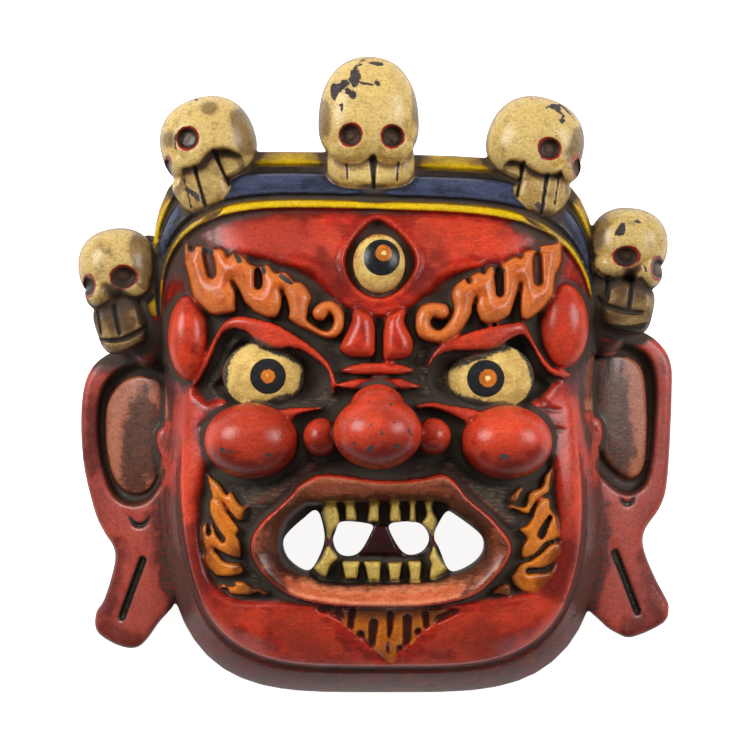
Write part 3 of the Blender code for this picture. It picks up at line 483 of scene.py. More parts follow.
# %% Carve the eyes
LEFT_SOCKET = [
    (-113, -8), (-106, 0), (-101, 15), (-92, 25), (-81, 24), (-69, 18), (-53, 15), (-39, 9),
    (-32, -3), (-38, -15), (-53, -19), (-80, -22), (-100, -19)]
RIGHT_SOCKET = [
    (116, -8), (105, 5), (99, 22), (92, 31), (80, 26), (66, 17), (50, 13), (37, 9), (30, -3),
    (35, -15), (50, -20), (80, -23), (100, -19)]
THIRD_SOCKET = [(-1, 105), (-15, 95), (-24, 77), (-17, 58), (-1, 50), (16, 57), (26, 76), (16, 94)]
SOCKET_DEPTH = 9.0
LEFT_LID = [
    (-124, -7), (-119.5, -1), (-113, 11.5), (-108, 23), (-102.5, 29.5), (-94.5, 30.5),
    (-87, 28), (-81, 21), (-72, 17), (-61, 18), (-51.5, 16.5), (-42, 10.5), (-35, 4),
    (-32, -5.5), (-31, -13.5), (-29, -5), (-31.5, 3.5), (-37.5, 12), (-45.5, 19), (-56.5, 26.5),
    (-67.5, 33), (-80, 37), (-94, 39), (-103.5, 35.5), (-110, 26), (-115.5, 15), (-121, 4.5),
    (-126.5, -3.5)]
RIGHT_LID = [
    (31.5, 0), (34, 7), (39.5, 13), (47.5, 15.5), (63, 16.5), (77.5, 17), (83.5, 21), (90, 25),
    (97, 26), (102.5, 19.5), (108.5, 8.5), (116.5, 0), (126, -2), (131, 0.5), (124.5, 3),
    (115, 6), (107, 16.5), (101, 27.5), (96, 35), (85, 34), (69.5, 31), (53.5, 26), (41, 20),
    (33.5, 10)]
SOCKET_SLOPE = (-1.0, 6.0)
LID_PROUD = 5.0
LID_ROUND = 4.0
THIRD_RING = 1.5
THIRD_RING_SLOPE = (-5.0, -1.0)
THIRD_DEPTH = 10.0
THIRD_SLOPE = (-1.0, 5.0)


def carve_eyes(x, y, dome, height):
    """Sunken sockets under heavy lids, and the ringed third eye."""
    for socket, lid in ((LEFT_SOCKET, LEFT_LID), (RIGHT_SOCKET, RIGHT_LID)):
        height = height - SOCKET_DEPTH * ease(*SOCKET_SLOPE, loop_depth(x, y, socket))
        height = raise_to(height, dome + LID_PROUD, loop_depth(x, y, lid), LID_ROUND)
    third = loop_depth(x, y, THIRD_SOCKET)
    height = height + THIRD_RING * ease(*THIRD_RING_SLOPE, third)
    return height - THIRD_DEPTH * ease(*THIRD_SLOPE, third)


print("the sockets are sunk", SOCKET_DEPTH, "mm")

# %% [markdown]
# ## Flame brows and beard
#
# Brows and beard are locks of flame, almost flat on top with rounded shoulders. Locks could be
# laid one by one as strokes, but on the real mask they grow out of one mass, so each brow is one
# outline with a scroll at its inner end, and thin wedge cuts part the locks from the edge.

# %% Outlines and cuts of the brows
LEFT_BROW = [
    (-132, 88), (-129.5, 90), (-122, 88), (-111, 85), (-106, 85), (-101, 81), (-96, 82),
    (-89.5, 78.5), (-87, 75), (-83, 73), (-79, 72.5), (-76, 74), (-73, 73), (-69.5, 68.5),
    (-62, 68.5), (-57, 62.5), (-53, 62), (-49.5, 59.5), (-45, 52), (-46.5, 46), (-48, 36),
    (-49, 31), (-54, 33), (-58.5, 37), (-60, 42), (-64, 44), (-68, 39), (-71, 37.5), (-76, 38.5),
    (-83, 42), (-88, 47), (-91.5, 49), (-94.5, 48), (-95, 43.5), (-99, 41), (-104, 40.5),
    (-108, 39.5), (-113, 40.5), (-118, 44.5), (-123, 49), (-126, 54), (-128, 62), (-130, 69),
    (-132.5, 76)]
LEFT_SCROLL = [
    (-56, 40, 5), (-51, 35, 3.6), (-44.5, 30.7, 2.4), (-38, 27.5, 2.4), (-32.4, 26.7, 3.2),
    (-28, 30.3, 4), (-26.5, 36, 4), (-28, 41.6, 4.2), (-32, 45.3, 4.2), (-36.4, 44.5, 4.7),
    (-39.3, 41.2, 5.6)]
LEFT_BROW_CUTS = [
    [(-98, 62, 0.1), (-95, 57, 0.8), (-93.5, 52, 1.8), (-92.5, 46, 3.4)],
    [(-65, 56.5, 0.1), (-63.5, 52, 0.8), (-62.7, 47, 1.8), (-63, 41, 3)],
    [(-126.3, 90, 1.1), (-125.9, 85.5, 1.1)], [(-115.5, 82, 2.2), (-113.5, 75, 2.8), (-112, 67.5, 2)],
    [(-100.8, 83, 1.4), (-101, 80.5, 1.2)], [(-81, 70, 1.5), (-80.5, 64, 2.3), (-80.5, 59.5, 2)]]
RIGHT_BROW = [
    (122, 91.5), (124, 88), (123.5, 77.5), (122, 72), (119, 66), (118, 54.5), (115.5, 50),
    (109, 43), (99.5, 36.5), (95, 37.5), (92, 42.5), (90, 44), (87.5, 40), (81, 35.5),
    (73, 33.5), (67.5, 36), (65, 41), (62, 41), (59, 35.5), (53.5, 32.5), (49.5, 37), (50.5, 43),
    (48, 52), (49.5, 58), (54.5, 63), (63, 67.5), (71, 70.5), (75, 73), (79, 72), (88, 78.5),
    (92, 79.5), (99.5, 84), (103.5, 84), (109, 87.5), (116, 89)]
RIGHT_SCROLL = [
    (55.3, 50, 6), (54.9, 41.3, 5.8), (50.7, 32.7, 5.5), (43.8, 26.4, 4.8), (36.9, 25.8, 4.9),
    (30.5, 29.3, 5.5), (29.2, 35.6, 5.5), (31.7, 41.7, 5.6), (36.3, 43.1, 5.3), (41.5, 42.2, 5.8)]
RIGHT_BROW_CUTS = [
    [(94.6, 61, 0.1), (93.2, 53.5, 0.9), (91.5, 44, 2.3), (91, 38, 3.8)],
    [(65, 51.5, 0.1), (63.4, 45.5, 0.9), (63.7, 38.5, 1.6), (62.5, 31.5, 4)],
    [(59.3, 64.7, 1.2), (60, 62.6, 1.2)], [(69.7, 71, 1.8), (69.9, 69, 1.5)],
    [(80.5, 72, 1.5), (80.2, 66, 2.6), (80.6, 54.5, 2.1)],
    [(94.4, 82, 1.5), (94.4, 79.5, 1.2)], [(106.3, 80, 1.8), (106, 74, 2.2), (106.7, 62.5, 1.9)]]
print(len(LEFT_BROW_CUTS) + len(RIGHT_BROW_CUTS), "cuts part the locks of the brows")

# %% Locks of the beard
BEARD_LOCKS = [
    [(-117, -61), (-115.5, -67), (-111, -70.5), (-107, -73.5), (-102, -81), (-99.5, -78.5),
     (-94, -86.5), (-90, -88.5), (-87, -86.5), (-90, -91.5), (-91, -97), (-94.5, -97.5),
     (-101, -90.5), (-104.5, -85.5), (-111.5, -82.5), (-113.5, -77), (-115, -71)],
    [(-113.5, -84), (-109.5, -83.5), (-106.5, -85), (-101.5, -93), (-94, -103.5), (-96, -107.5),
     (-93, -112), (-92, -123), (-98, -122.5), (-107.5, -118.5), (-112, -116), (-116, -120),
     (-118.5, -115.5), (-120, -110), (-119.5, -104), (-117, -99.5), (-114.5, -93.5)],
    [(-118.5, -123.5), (-116, -119), (-112.5, -117), (-109, -120), (-105, -125), (-99, -127),
     (-93.5, -127), (-91, -133), (-100.5, -135.5), (-108.5, -136), (-112.5, -133), (-116, -130)],
    [(-107.5, -142), (-105, -141), (-102, -142.5), (-97, -142), (-97, -139), (-90.5, -139.5),
     (-84.5, -143.5), (-80.5, -143.5), (-76.5, -146), (-72, -147), (-78, -148), (-80.5, -146),
     (-89, -148.5), (-100, -147.5), (-101.5, -144), (-105, -144)],
    [(118, -55.5), (117, -62), (115, -74.5), (114, -79), (107.5, -82.5), (102.5, -89),
     (99.5, -93.5), (92.5, -90.5), (86, -89.5), (88.5, -87.5), (98, -89), (100, -81.5),
     (102.5, -78), (109, -75.5), (111, -68.5), (114.5, -64), (116.5, -58.5)],
    [(87.5, -85.5), (88.5, -81), (92.5, -77), (97, -75), (94.5, -79.5), (92.5, -84.5)],
    [(111, -82.5), (115, -84), (115.5, -90.5), (119.5, -96), (121.5, -103.5), (121.5, -109.5),
     (111.5, -113.5), (107, -118.5), (102, -122), (95.5, -122.5), (96.5, -115), (99.5, -109.5),
     (94.5, -104), (99.5, -101), (103, -96), (104.5, -90.5), (107.5, -85)],
    [(95.5, -127), (102.5, -124.5), (109, -120), (115, -114.5), (120, -113), (123, -116.5),
     (122, -121), (119.5, -126), (118, -133.5), (114, -139), (109, -144), (102.5, -146.5),
     (96, -145.5), (88.5, -137.5), (91.5, -132)],
    [(75.5, -146.5), (82, -141), (87, -140.5), (88.5, -143.5), (87, -148.5), (80.5, -147.5)],
    [(-34, -158.5), (-28.5, -161), (-24, -162), (-23.5, -169.5), (-17.5, -169), (-17, -175),
     (-8.5, -179), (-7, -183), (-2, -188), (2.5, -191.5), (6.5, -195), (10.5, -194.5),
     (12, -190.5), (16.5, -186.5), (24, -180), (27, -174.5), (34.5, -170), (37, -169), (38, -163),
     (43, -160.5), (46, -158), (6, -156)]]
BEARD_CUTS = [
    [(-115, -97, 1.5), (-114.5, -107, 1.3)],
    [(-114, -93.5, 0.7), (-111, -101.5, 1.3), (-107.5, -107.5, 1.7), (-105, -110.5, 1.9)],
    [(-112, -116.5, 0.5), (-107, -121, 1.1), (-100.5, -123.5, 1.5), (-91, -125, 1.7)],
    [(115, -96, 1.3), (112, -101, 2), (109, -107.5, 2.6)],
    [(100.5, -132, 2), (105.5, -132, 1.5), (112, -131.5, 1.5), (119.5, -128, 2), (123, -124.5, 2.9)],
    [(-18, -158.5, 1.8), (-19.5, -171, 1.9)], [(-12.5, -175.5, 2.8), (-13, -180.5, 2.8)],
    [(-3.5, -167, 2.8), (-5, -184, 1.7)], [(7.5, -160.5, 2), (7.5, -169.5, 1.7), (6.5, -178, 0.4)],
    [(6, -180.5, 0.3), (6, -185.5, 0.8), (6.5, -189.5, 0.2)], [(19, -164, 2.7), (19, -183, 2.3)],
    [(31, -160, 1.8), (32, -171, 1.8)], [(26.5, -173, 2.2), (26.5, -176, 2.1)],
    [(14, -184.5, 1.8), (15.5, -190.5, 3.3)], [(-27.5, -160.5, 2.8), (-26.5, -167, 2.2)]]
CHIN_BED = [(-41, -155), (-26, -167), (-11, -181), (6, -196), (15, -188), (31, -173), (54, -156)]
print(len(BEARD_LOCKS), "locks and", len(BEARD_CUTS), "cuts in the beards")

# %% Carve the brows and the beard
BROW_PROUD = 6.5
BROW_ROOT = 5.0
BROW_SHOULDER = 3.0
BROW_CROWN = 2.5
BROW_CROWN_RISE = (1.5, 9.0)
CHIN_BED_DEPTH = 5.0
CHIN_BED_SLOPE = 3.0
BEARD_ROUND = 2.5


def brow_depth(x, y):
    """How deep each point lies inside a brow: its body and its scroll, less the cuts."""
    depth = np.full(x.shape, FAR_OUTSIDE)
    for body, scroll, cuts in ((LEFT_BROW, LEFT_SCROLL, LEFT_BROW_CUTS),
                               (RIGHT_BROW, RIGHT_SCROLL, RIGHT_BROW_CUTS)):
        whole = np.maximum(loop_depth(x, y, body), stroke_depth(x, y, [scroll]))
        depth = np.maximum(depth, np.minimum(whole, -stroke_depth(x, y, cuts)))
    return depth


def beard_depth(x, y):
    """How deep each point lies inside a lock of the side beards or the chin beard."""
    locks = np.max([loop_depth(x, y, lock) for lock in BEARD_LOCKS], axis=0)
    return np.minimum(locks, -stroke_depth(x, y, BEARD_CUTS))


def carve_hair(x, y, dome, height):
    """Flame brows, the two side beards and the small beard under the lip."""
    depth = brow_depth(x, y)
    plump = BROW_PROUD + BROW_CROWN * ease(*BROW_CROWN_RISE, depth)
    height = raise_to(height, dome + plump, depth, BROW_SHOULDER, plump + BROW_ROOT)
    height = height - CHIN_BED_DEPTH * ease(0.0, CHIN_BED_SLOPE, loop_depth(x, y, CHIN_BED))
    return raise_to(height, dome, beard_depth(x, y), BEARD_ROUND)


middle_of_brow = brow_depth(np.array([-110.0]), np.array([60.0]))
print("the left brow is", np.round(middle_of_brow, 1), "mm deep at its widest lock")

# %% [markdown]
# ## The whole face as one height
#
# Everything else on the face is a fold: the sunken middle, the wrinkles on the forehead and
# the nose, the two pads between the brows, the ridge of the jaw and the rim round the chin.
# Put together they give one height for every place on the face, which is what a relief is.

# %% Folds and ridges of the face
JAW_RIDGES = [
    [(-131, -18, 5), (-133, -50, 8), (-134, -84, 9), (-131, -118, 9), (-123, -145, 9),
     (-106, -164, 8), (-80, -174, 6)],
    [(131, -25, 5), (134, -71, 9), (136, -104, 10), (133, -131, 10), (123, -151, 9),
     (105, -166, 8), (85, -174, 6)]]
FOREHEAD_FOLDS = [
    [(-63, 76, 1), (-46, 72, 2), (-34, 64, 3), (-25, 51, 3), (-14, 43, 3), (0, 39, 3)],
    [(75, 73, 1), (47, 70, 2), (31, 57, 3), (18, 46, 3), (0, 39, 3)]]
BROW_LOBES = [
    [(-17, 44), (-10, 43.5), (-3.5, 37), (-2.2, 20), (-5, 12), (-19, 12), (-26, 17), (-25, 22),
     (-19, 35)],
    [(4, 37), (14, 44), (18, 42), (17, 35), (22, 25), (23, 19), (20, 12), (7, 9.5), (2.5, 13)]]
SUNKEN_FACE = [
    (-123, 50), (-118, 24), (-124, 8), (-132, -1), (-125, -6), (-127, -12), (-122, -17),
    (-115, -21.5), (-104, -20), (-100, -40), (-110, -55), (-119, -61), (-122.5, -76), (-126, -86),
    (-125, -112), (-117, -140), (-98, -154), (-55, -156), (0, -160), (45, -157), (92, -151),
    (112, -143), (122, -124), (125, -104), (123.5, -88), (121, -72), (118.5, -56), (111, -50),
    (100, -40), (104, -21), (116, -22), (112, -15.5), (123, -5), (127, -2), (131, 3), (123, 10),
    (118, 24), (119, 50), (81, 76), (66, 74), (53, 71.5), (40, 66), (29.5, 56), (16.5, 46.5),
    (2, 41), (-14, 44.5), (-25.5, 50.5), (-31, 56), (-41, 68), (-51.5, 73.5), (-62.5, 76), (-94, 81)]
CHEEK_TAILS = [
    [(-68, -31, 7), (-62, -27, 4.5), (-54.5, -24.5, 2.2), (-46, -23, 1.4), (-39, -22, 0.7)],
    [(70, -32, 7), (58, -26.5, 4.5), (48.5, -23.5, 2.8), (37, -20.5, 2), (26, -21, 1.5)]]
NOSE_FOLDS = [
    [(-24, 3, 1.2), (-14, 3.5, 3.8), (0, 4, 4.4), (12, 3.5, 3.8), (22, 3, 1.2)],
    [(-27, -7, 1.2), (-15, -6.5, 3.8), (0, -6, 4.4), (14, -6.5, 3.8), (26, -8, 1.2)]]
MUZZLE_ROLLS = [
    [(-88, -86, 2), (-72, -81, 3), (-57, -73, 3.5), (-44, -61, 3)],
    [(-20, -61, 2), (-9.5, -66, 3), (2.5, -67, 3), (15, -66, 3), (27, -61, 2)],
    [(46, -62, 3), (60, -76, 3.5), (76, -90, 3), (88, -98, 2)]]
CREASES = [
    [(-119.5, -34, 0.6), (-109, -27, 1.2), (-100, -21, 1.5)],
    [(103, -22.7, 1.4), (122.5, -24, 0.8)], [(110.5, -36, 0.5), (124.7, -37.5, 0.6)]]
print("the face has", len(NOSE_FOLDS + FOREHEAD_FOLDS + MUZZLE_ROLLS + CREASES), "folds")

# %% Carve the whole face
SOFT_FOLDS = [
    # height, the depths between which it rises, how depth is measured, shapes
    (5.0, (-12.0, 8.0), stroke_depth, JAW_RIDGES), (1.3, (-5.0, 2.0), stroke_depth, FOREHEAD_FOLDS),
    (-8.0, (-1.5, 8.0), loop_depth, SUNKEN_FACE), (3.0, (-6.0, 3.0), stroke_depth, MUZZLE_ROLLS),
    (-1.5, (-1.5, 0.5), stroke_depth, CREASES)]
FOLD_PROUD = 3.0
TAIL_PROUD = 5.0
FOLD_ROUND = 4.0
LOBE_PROUD = 9.0
LOBE_ROOT = 2.0
LOBE_SHOULDER = 9.0
LOW_FACE = (30.0, 90.0)
CHIN_RIM = 0.905
CHIN_RIM_HALF = 0.012
CHIN_RIM_DROP = 6.0
CHIN_GROOVE = (0.4, 1.2)
CHIN_GROOVE_DEPTH = 4.0


def carve_face(x, y):
    """Height of the carved face above the back rim."""
    dome = dome_height(x, y)
    height = carve_band(x, y, dome)
    low_half = ease(*LOW_FACE, -y)
    rim = head_ratio(x, y) - CHIN_RIM
    height = height - CHIN_RIM_DROP * ease(-CHIN_RIM_HALF, CHIN_RIM_HALF, rim) * low_half
    floor, mouth = CHIN_GROOVE
    rim_groove = 1.0 - ease(floor * CHIN_RIM_HALF, mouth * CHIN_RIM_HALF, np.abs(rim))
    height = height - CHIN_GROOVE_DEPTH * rim_groove * low_half
    for proud, slope, measure, shapes in SOFT_FOLDS:
        height = height + proud * ease(*slope, measure(x, y, shapes))
    for folds, level in ((NOSE_FOLDS, FOLD_PROUD), (CHEEK_TAILS, TAIL_PROUD)):
        height = raise_to(height, dome + level, stroke_depth(x, y, folds), FOLD_ROUND)
    for lobe in BROW_LOBES:
        depth = loop_depth(x, y, lobe)
        height = raise_to(height, dome + LOBE_PROUD, depth, LOBE_SHOULDER, LOBE_PROUD + LOBE_ROOT)
    height = carve_eyes(x, y, dome, height)
    height = carve_mouth(x, y, dome, height)
    return carve_hair(x, y, dome, height)


across = np.linspace(-140.0, 140.0, 5)
print("heights across the cheeks:", np.round(carve_face(across, across * 0 - 40.0), 1))

# %% [markdown]
# ## The hollow behind the face
#
# Turned over, the mask is a shallow bowl. Its ceiling follows the plain dome at the thickness
# of the wall, dips behind the mouth, and drops to the flat rim that the mask lies on. The
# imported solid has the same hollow, because a head or a hook has to fit in it.

# %% Shape of the hollow
SIDE_WALL = 18.0
FACE_WALL = 26.0
MOUTH_WALL = 9.0
MOUTH_DIP = (-25.0, 5.0)
CEILING_POWER = 5
TRIED_REACHES = (100.0, 260.0, 1601)
SAWN_POINTS = 96
MEASURED_POINTS = 360


def head_outline(steps):
    """Points round the head, found by stretching each direction until the ratio is 1."""
    points = []
    for angle in np.linspace(0.0, 2.0 * math.pi, steps, endpoint=False):
        reach = np.linspace(*TRIED_REACHES)
        x, y = reach * math.cos(angle), reach * math.sin(angle) + MID_Y
        best = int(np.argmin(np.abs(head_ratio(x, y) - 1.0)))
        points.append((x[best], y[best]))
    return points


RIM_LINE = np.array(head_outline(MEASURED_POINTS)) - np.array((0.0, MID_Y))
RIM_REACH = np.hypot(RIM_LINE[:, 0], RIM_LINE[:, 1])
RIM_TURN = np.unwrap(np.arctan2(RIM_LINE[:, 1], RIM_LINE[:, 0]))


def hollow_share(x, y):
    """0 in the middle of the hollow and 1 on its wall."""
    turn = np.mod(np.arctan2(y - MID_Y, x) - RIM_TURN[0], 2.0 * math.pi)
    wall_line = np.interp(turn, RIM_TURN - RIM_TURN[0], RIM_REACH) - SIDE_WALL
    return np.hypot(x, y - MID_Y) / wall_line


def ceiling(x, y):
    """Height of the hollow's ceiling above the rim."""
    behind_mouth = ease(*MOUTH_DIP, loop_depth(x, y, LIPS_OUTER))
    plain = dome_height(x, y) - FACE_WALL - (MOUTH_DEPTH + MOUTH_WALL - FACE_WALL) * behind_mouth
    return plain * np.sqrt(np.maximum(1.0 - hollow_share(x, y) ** CEILING_POWER, 0.0))


print("the ceiling is", np.round(ceiling(across * 0.8, across * 0 - 40.0), 1), "mm high behind the cheeks")

# %% [markdown]
# ## Saw out and carve the head
#
# The head starts as a board sawn to its outline. The holes of the mouth are cut while the
# board is still flat, with Booleans, because a saw cut is what they are. Then the board gets
# an even skin of millimetre squares, and the squares are pushed to the heights worked out
# above: the upper face to the carving, the lower face to the hollow. Sculpting by hand would
# also do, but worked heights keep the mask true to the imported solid.

# %% Hold, move and skin a piece
GRAIN = 1.15


def take_up(piece):
    """Make one piece the only selected one, ready for an operator."""
    bpy.ops.object.select_all(action="DESELECT")
    piece.select_set(True)
    bpy.context.view_layer.objects.active = piece


def points_of(piece):
    """The piece's points in millimetres, one row each."""
    flat = np.empty(3 * len(piece.data.vertices))
    piece.data.vertices.foreach_get("co", flat)
    return flat.reshape(-1, 3) / MM


def move_points(piece, points):
    """Put every point of the piece at its new place, given in millimetres."""
    piece.data.vertices.foreach_set("co", (points * MM).ravel())
    piece.data.update()


def fuse(piece, grain):
    """Give the piece one even skin of small squares, whatever it is made of."""
    take_up(piece)
    piece.data.remesh_voxel_size = grain * MM
    piece.data.use_remesh_preserve_volume = False
    bpy.ops.object.voxel_remesh()


print("the skin is made of", GRAIN, "mm squares")


# %% Two saws
def saw_board(name, outline, low, high):
    """A board sawn to an outline: a filled ring moved to the outline and extruded upwards."""
    bpy.ops.object.select_all(action="DESELECT")
    bpy.ops.mesh.primitive_circle_add(vertices=len(outline), fill_type="NGON")
    board = bpy.context.object
    board.name = name
    move_points(board, np.column_stack([outline, np.full(len(outline), low)]))
    bpy.ops.object.mode_set(mode="EDIT")
    bpy.ops.mesh.select_all(action="SELECT")
    bpy.ops.mesh.extrude_region_move(
        TRANSFORM_OT_translate={"value": (0.0, 0.0, (high - low) * MM)})
    bpy.ops.mesh.select_all(action="SELECT")
    bpy.ops.mesh.normals_make_consistent(inside=False)
    bpy.ops.object.mode_set(mode="OBJECT")
    return board


def saw_through(board, hole):
    """Cut a closed piece out of the board, and throw that piece away."""
    take_up(board)
    saw = board.modifiers.new("saw", "BOOLEAN")
    saw.operation = "DIFFERENCE"
    saw.solver = "EXACT"
    saw.object = hole
    bpy.ops.object.modifier_apply(modifier=saw.name)
    bpy.data.objects.remove(hole)


print("the saws follow", SAWN_POINTS, "points round the head")

# %% Saw the head's board and the holes of the mouth
BOARD_DEPTH = 60.0

head = saw_board("carved_mask", head_outline(SAWN_POINTS), 0.0, BOARD_DEPTH)
for hole in MOUTH_HOLES:
    line = smooth_line(hole, closed=True)
    saw_through(head, saw_board("hole", line, -BOARD_DEPTH, 2.0 * BOARD_DEPTH))
fuse(head, GRAIN)
print("the head's board has", len(head.data.vertices), "points")


# %% Push the board's two faces to the carving and the hollow
SIDE_TUCK = 5.0
TUCKED = (1.0, 1.13)
SKIN = 0.01


def carve_head(head):
    """Push the front to the carving and the back to the hollow, and tuck the sides in below."""
    points = points_of(head)
    x, y, level = points.T
    above = np.clip(level / BOARD_DEPTH, 0.0, 1.0)
    front, back = above > SKIN, above < 1.0 - SKIN
    top, bottom = np.zeros(len(x)), np.zeros(len(x))
    top[front] = carve_face(x[front], y[front])
    bottom[back] = ceiling(x[back], y[back])
    points[:, 2] = bottom + (top - bottom) * above
    outside = ease(*TUCKED, hollow_share(x, y))
    tuck = 1.0 - SIDE_TUCK * (1.0 - above) ** 2 * outside / np.hypot(x, y - MID_Y)
    points[:, 0] = x * tuck
    points[:, 1] = (y - MID_Y) * tuck + MID_Y
    move_points(head, points)


carve_head(head)
print("the carved head stands", round(points_of(head)[:, 2].max(), 1), "mm high")

# %% [markdown]
# ## Rounded bosses
#
# Cheeks, nose, nostrils, eyeballs and temples stand out of the relief as rounded swellings, and
# two webs of wood carry the lower skulls. Each is a sphere stretched to three radii. Their
# undersides are held above the hollow, so that nothing pokes through its ceiling.

# %% Add the bosses
BOSSES = {
    "left_cheek": ((-85, -44, 104), (31.5, 25.5, 27)),
    "right_cheek": ((85, -45, 104), (30.5, 25, 27)),
    "nose": ((-1, -38, 126), (29.5, 24.5, 29)),
    "nose_bridge": ((-1, -24, 122), (19, 18, 20)),
    "left_nostril": ((-38.5, -41.5, 110), (12, 13, 15)),
    "right_nostril": ((36, -41, 111), (12, 12.5, 15)),
    "left_eyeball": ((-77, 0, 93), (28, 23, 14)),
    "right_eyeball": ((75, -1.5, 93), (29, 23, 14)),
    "third_eyeball": ((0, 74, 103), (17.5, 20, 13)),
    "left_temple": ((-128, 25, 79), (14.5, 29, 17)),
    "right_temple": ((124, 33, 79), (17.5, 29, 17)),
    "left_web": ((-158, 50, 42), (20, 46, 22)),
    "right_web": ((156, 58, 42), (21, 46, 22))}
ROUND_ABOUT = 64
POLE_TO_POLE = 32
ABOVE_CEILING = 4.0


def boss(name, centre, radii):
    """A sphere stretched to three radii, in its place in the mesh."""
    bpy.ops.object.select_all(action="DESELECT")
    bpy.ops.mesh.primitive_uv_sphere_add(segments=ROUND_ABOUT, ring_count=POLE_TO_POLE, radius=MM)
    made = bpy.context.object
    made.name = name
    points = points_of(made) * np.array(radii) + np.array(centre)
    move_points(made, points)
    return made


def keep_out_of_hollow(made):
    """Lift what hangs below the hollow's ceiling."""
    points = points_of(made)
    points[:, 2] = np.maximum(points[:, 2], ceiling(points[:, 0], points[:, 1]) + ABOVE_CEILING)
    move_points(made, points)


swellings = [boss(name, centre, radii) for name, (centre, radii) in BOSSES.items()]
for swelling in swellings:
    keep_out_of_hollow(swelling)
print(len(swellings), "bosses")

# %% [markdown]
# ## The ears
#
# The ears are long flat plates that lean back towards their outer edge. Each has a deep bowl
# with a smooth shell inside it, a lobe, a notch and a long slot below. They are made as the
# head was: sawn, given a fine skin, and pushed to their heights.

# %% Shapes of the ears
LEFT_EAR = [
    (-152, 17), (-168, 19), (-186, 15), (-200, 3), (-206, -20), (-205, -59), (-197, -94),
    (-190, -109), (-183, -120), (-183, -132), (-190, -155), (-196, -165), (-195, -178),
    (-180, -187), (-165, -187), (-152, -171), (-138, -150), (-136, -100), (-138, -30)]
RIGHT_EAR = [
    (148, 34), (161, 36), (177, 32), (193, 23), (202, 9), (203, -14), (200, -71), (195, -91),
    (184, -107), (183, -120), (191, -140), (198, -153), (201, -161), (197, -172), (175, -181),
    (164, -178), (153, -170), (138, -150), (136, -100), (138, 0)]
EAR_THICKNESS = 20.0
EAR_ROOT = 46.0
EAR_EDGE = 27.0
EAR_TIP = 205.0
EAR_REACH = 60.0
EAR_ROUND = 5.0
EAR_ROUND_DROP = 4.0
EAR_BOWLS = [
    [(-142, 5), (-165, 9), (-181, 4), (-193, -10), (-196, -35), (-193, -62), (-184, -84),
     (-169, -91), (-154, -84), (-144, -62), (-140, -30)],
    [(141, 18), (160, 23), (175, 21), (188, 12), (193, -8), (191.5, -45), (187, -72), (176, -83),
     (163, -81), (150, -68), (140, -45), (135, -10)]]
EAR_SHELLS = [
    [(-147, -6), (-162, 1), (-178, -4), (-190, -22), (-190.5, -50), (-184, -73), (-170, -83),
     (-156, -79), (-148, -62), (-144, -35)],
    [(142, 9), (158, 15), (173, 13.5), (184, 1), (187.5, -35), (185, -63), (176, -72.5),
     (164, -69), (152, -56), (143, -35), (139, -12)]]
EAR_LOBES = [
    [(-144, -34, 3), (-149, -42, 5.5), (-148, -54, 4), (-143, -66, 2)],
    [(143, -28, 3), (149, -34, 5.5), (150, -46, 4.5), (144, -60, 3)]]
EAR_SLOTS = [
    [(-171.5, -98, 1), (-167, -103, 2.2), (-161, -102.5, 2), (-157.5, -97, 1)],
    [(-162, -127, 3), (-177, -167, 3)],
    [(165.5, -84, 1), (169, -88.5, 1.8), (173.5, -88, 1.8), (176.5, -83, 1)],
    [(162, -122, 3), (178, -163, 3)]]
EAR_FORMS = [
    # height, the depth at which it is whole, how depth is measured, shapes
    *[(-11.0, 5.0, loop_depth, bowl) for bowl in EAR_BOWLS],
    *[(5.0, 3.0, loop_depth, shell) for shell in EAR_SHELLS],
    (11.0, 4.0, stroke_depth, EAR_LOBES), (-4.0, 2.0, stroke_depth, EAR_SLOTS)]
print("each ear has a bowl and a shell, and both have", len(EAR_SLOTS), "cuts and", len(EAR_LOBES), "lobes")


# %% Carve the ears
def ear_slope(x):
    """The ear plate's height, falling from its root on the head to its outer edge."""
    return EAR_EDGE + (EAR_ROOT - EAR_EDGE) * ease(0.0, EAR_REACH, EAR_TIP - np.abs(x))


def ear_front(x, y):
    """Height of the carved front of an ear."""
    height = ear_slope(x)
    for proud, slope, measure, shapes in EAR_FORMS:
        height = height + proud * ease(0.0, slope, measure(x, y, shapes))
    return height


def carve_ear(name, outline):
    """Saw one ear, give it its fine skin and push its two faces to their heights."""
    ear = saw_board(name, smooth_line(outline, closed=True), 0.0, EAR_THICKNESS)
    fuse(ear, GRAIN)
    points = points_of(ear)
    x, y, level = points.T
    edge = np.minimum(loop_depth(x, y, outline), EAR_ROUND) / EAR_ROUND
    top = ear_front(x, y) - EAR_ROUND_DROP * (1.0 - quarter_round(edge, 1.0))
    bottom = ear_slope(x) - EAR_THICKNESS
    points[:, 2] = bottom + (top - bottom) * level / EAR_THICKNESS
    move_points(ear, points)
    return ear


ears = [carve_ear("left_ear", LEFT_EAR), carve_ear("right_ear", RIGHT_EAR)]
print("the ears are", [round(ear.dimensions.y / MM) for ear in ears], "mm tall")

# %% [markdown]
# ## The crown of skulls
#
# Five skulls crown the mask. Each is an egg that is a little squarer than a sphere, two round
# cheeks below it and a blocky jaw set further back, all turned by the skull's own lean. The
# sockets and the gaps between the teeth are cut after everything is fused into one skin.

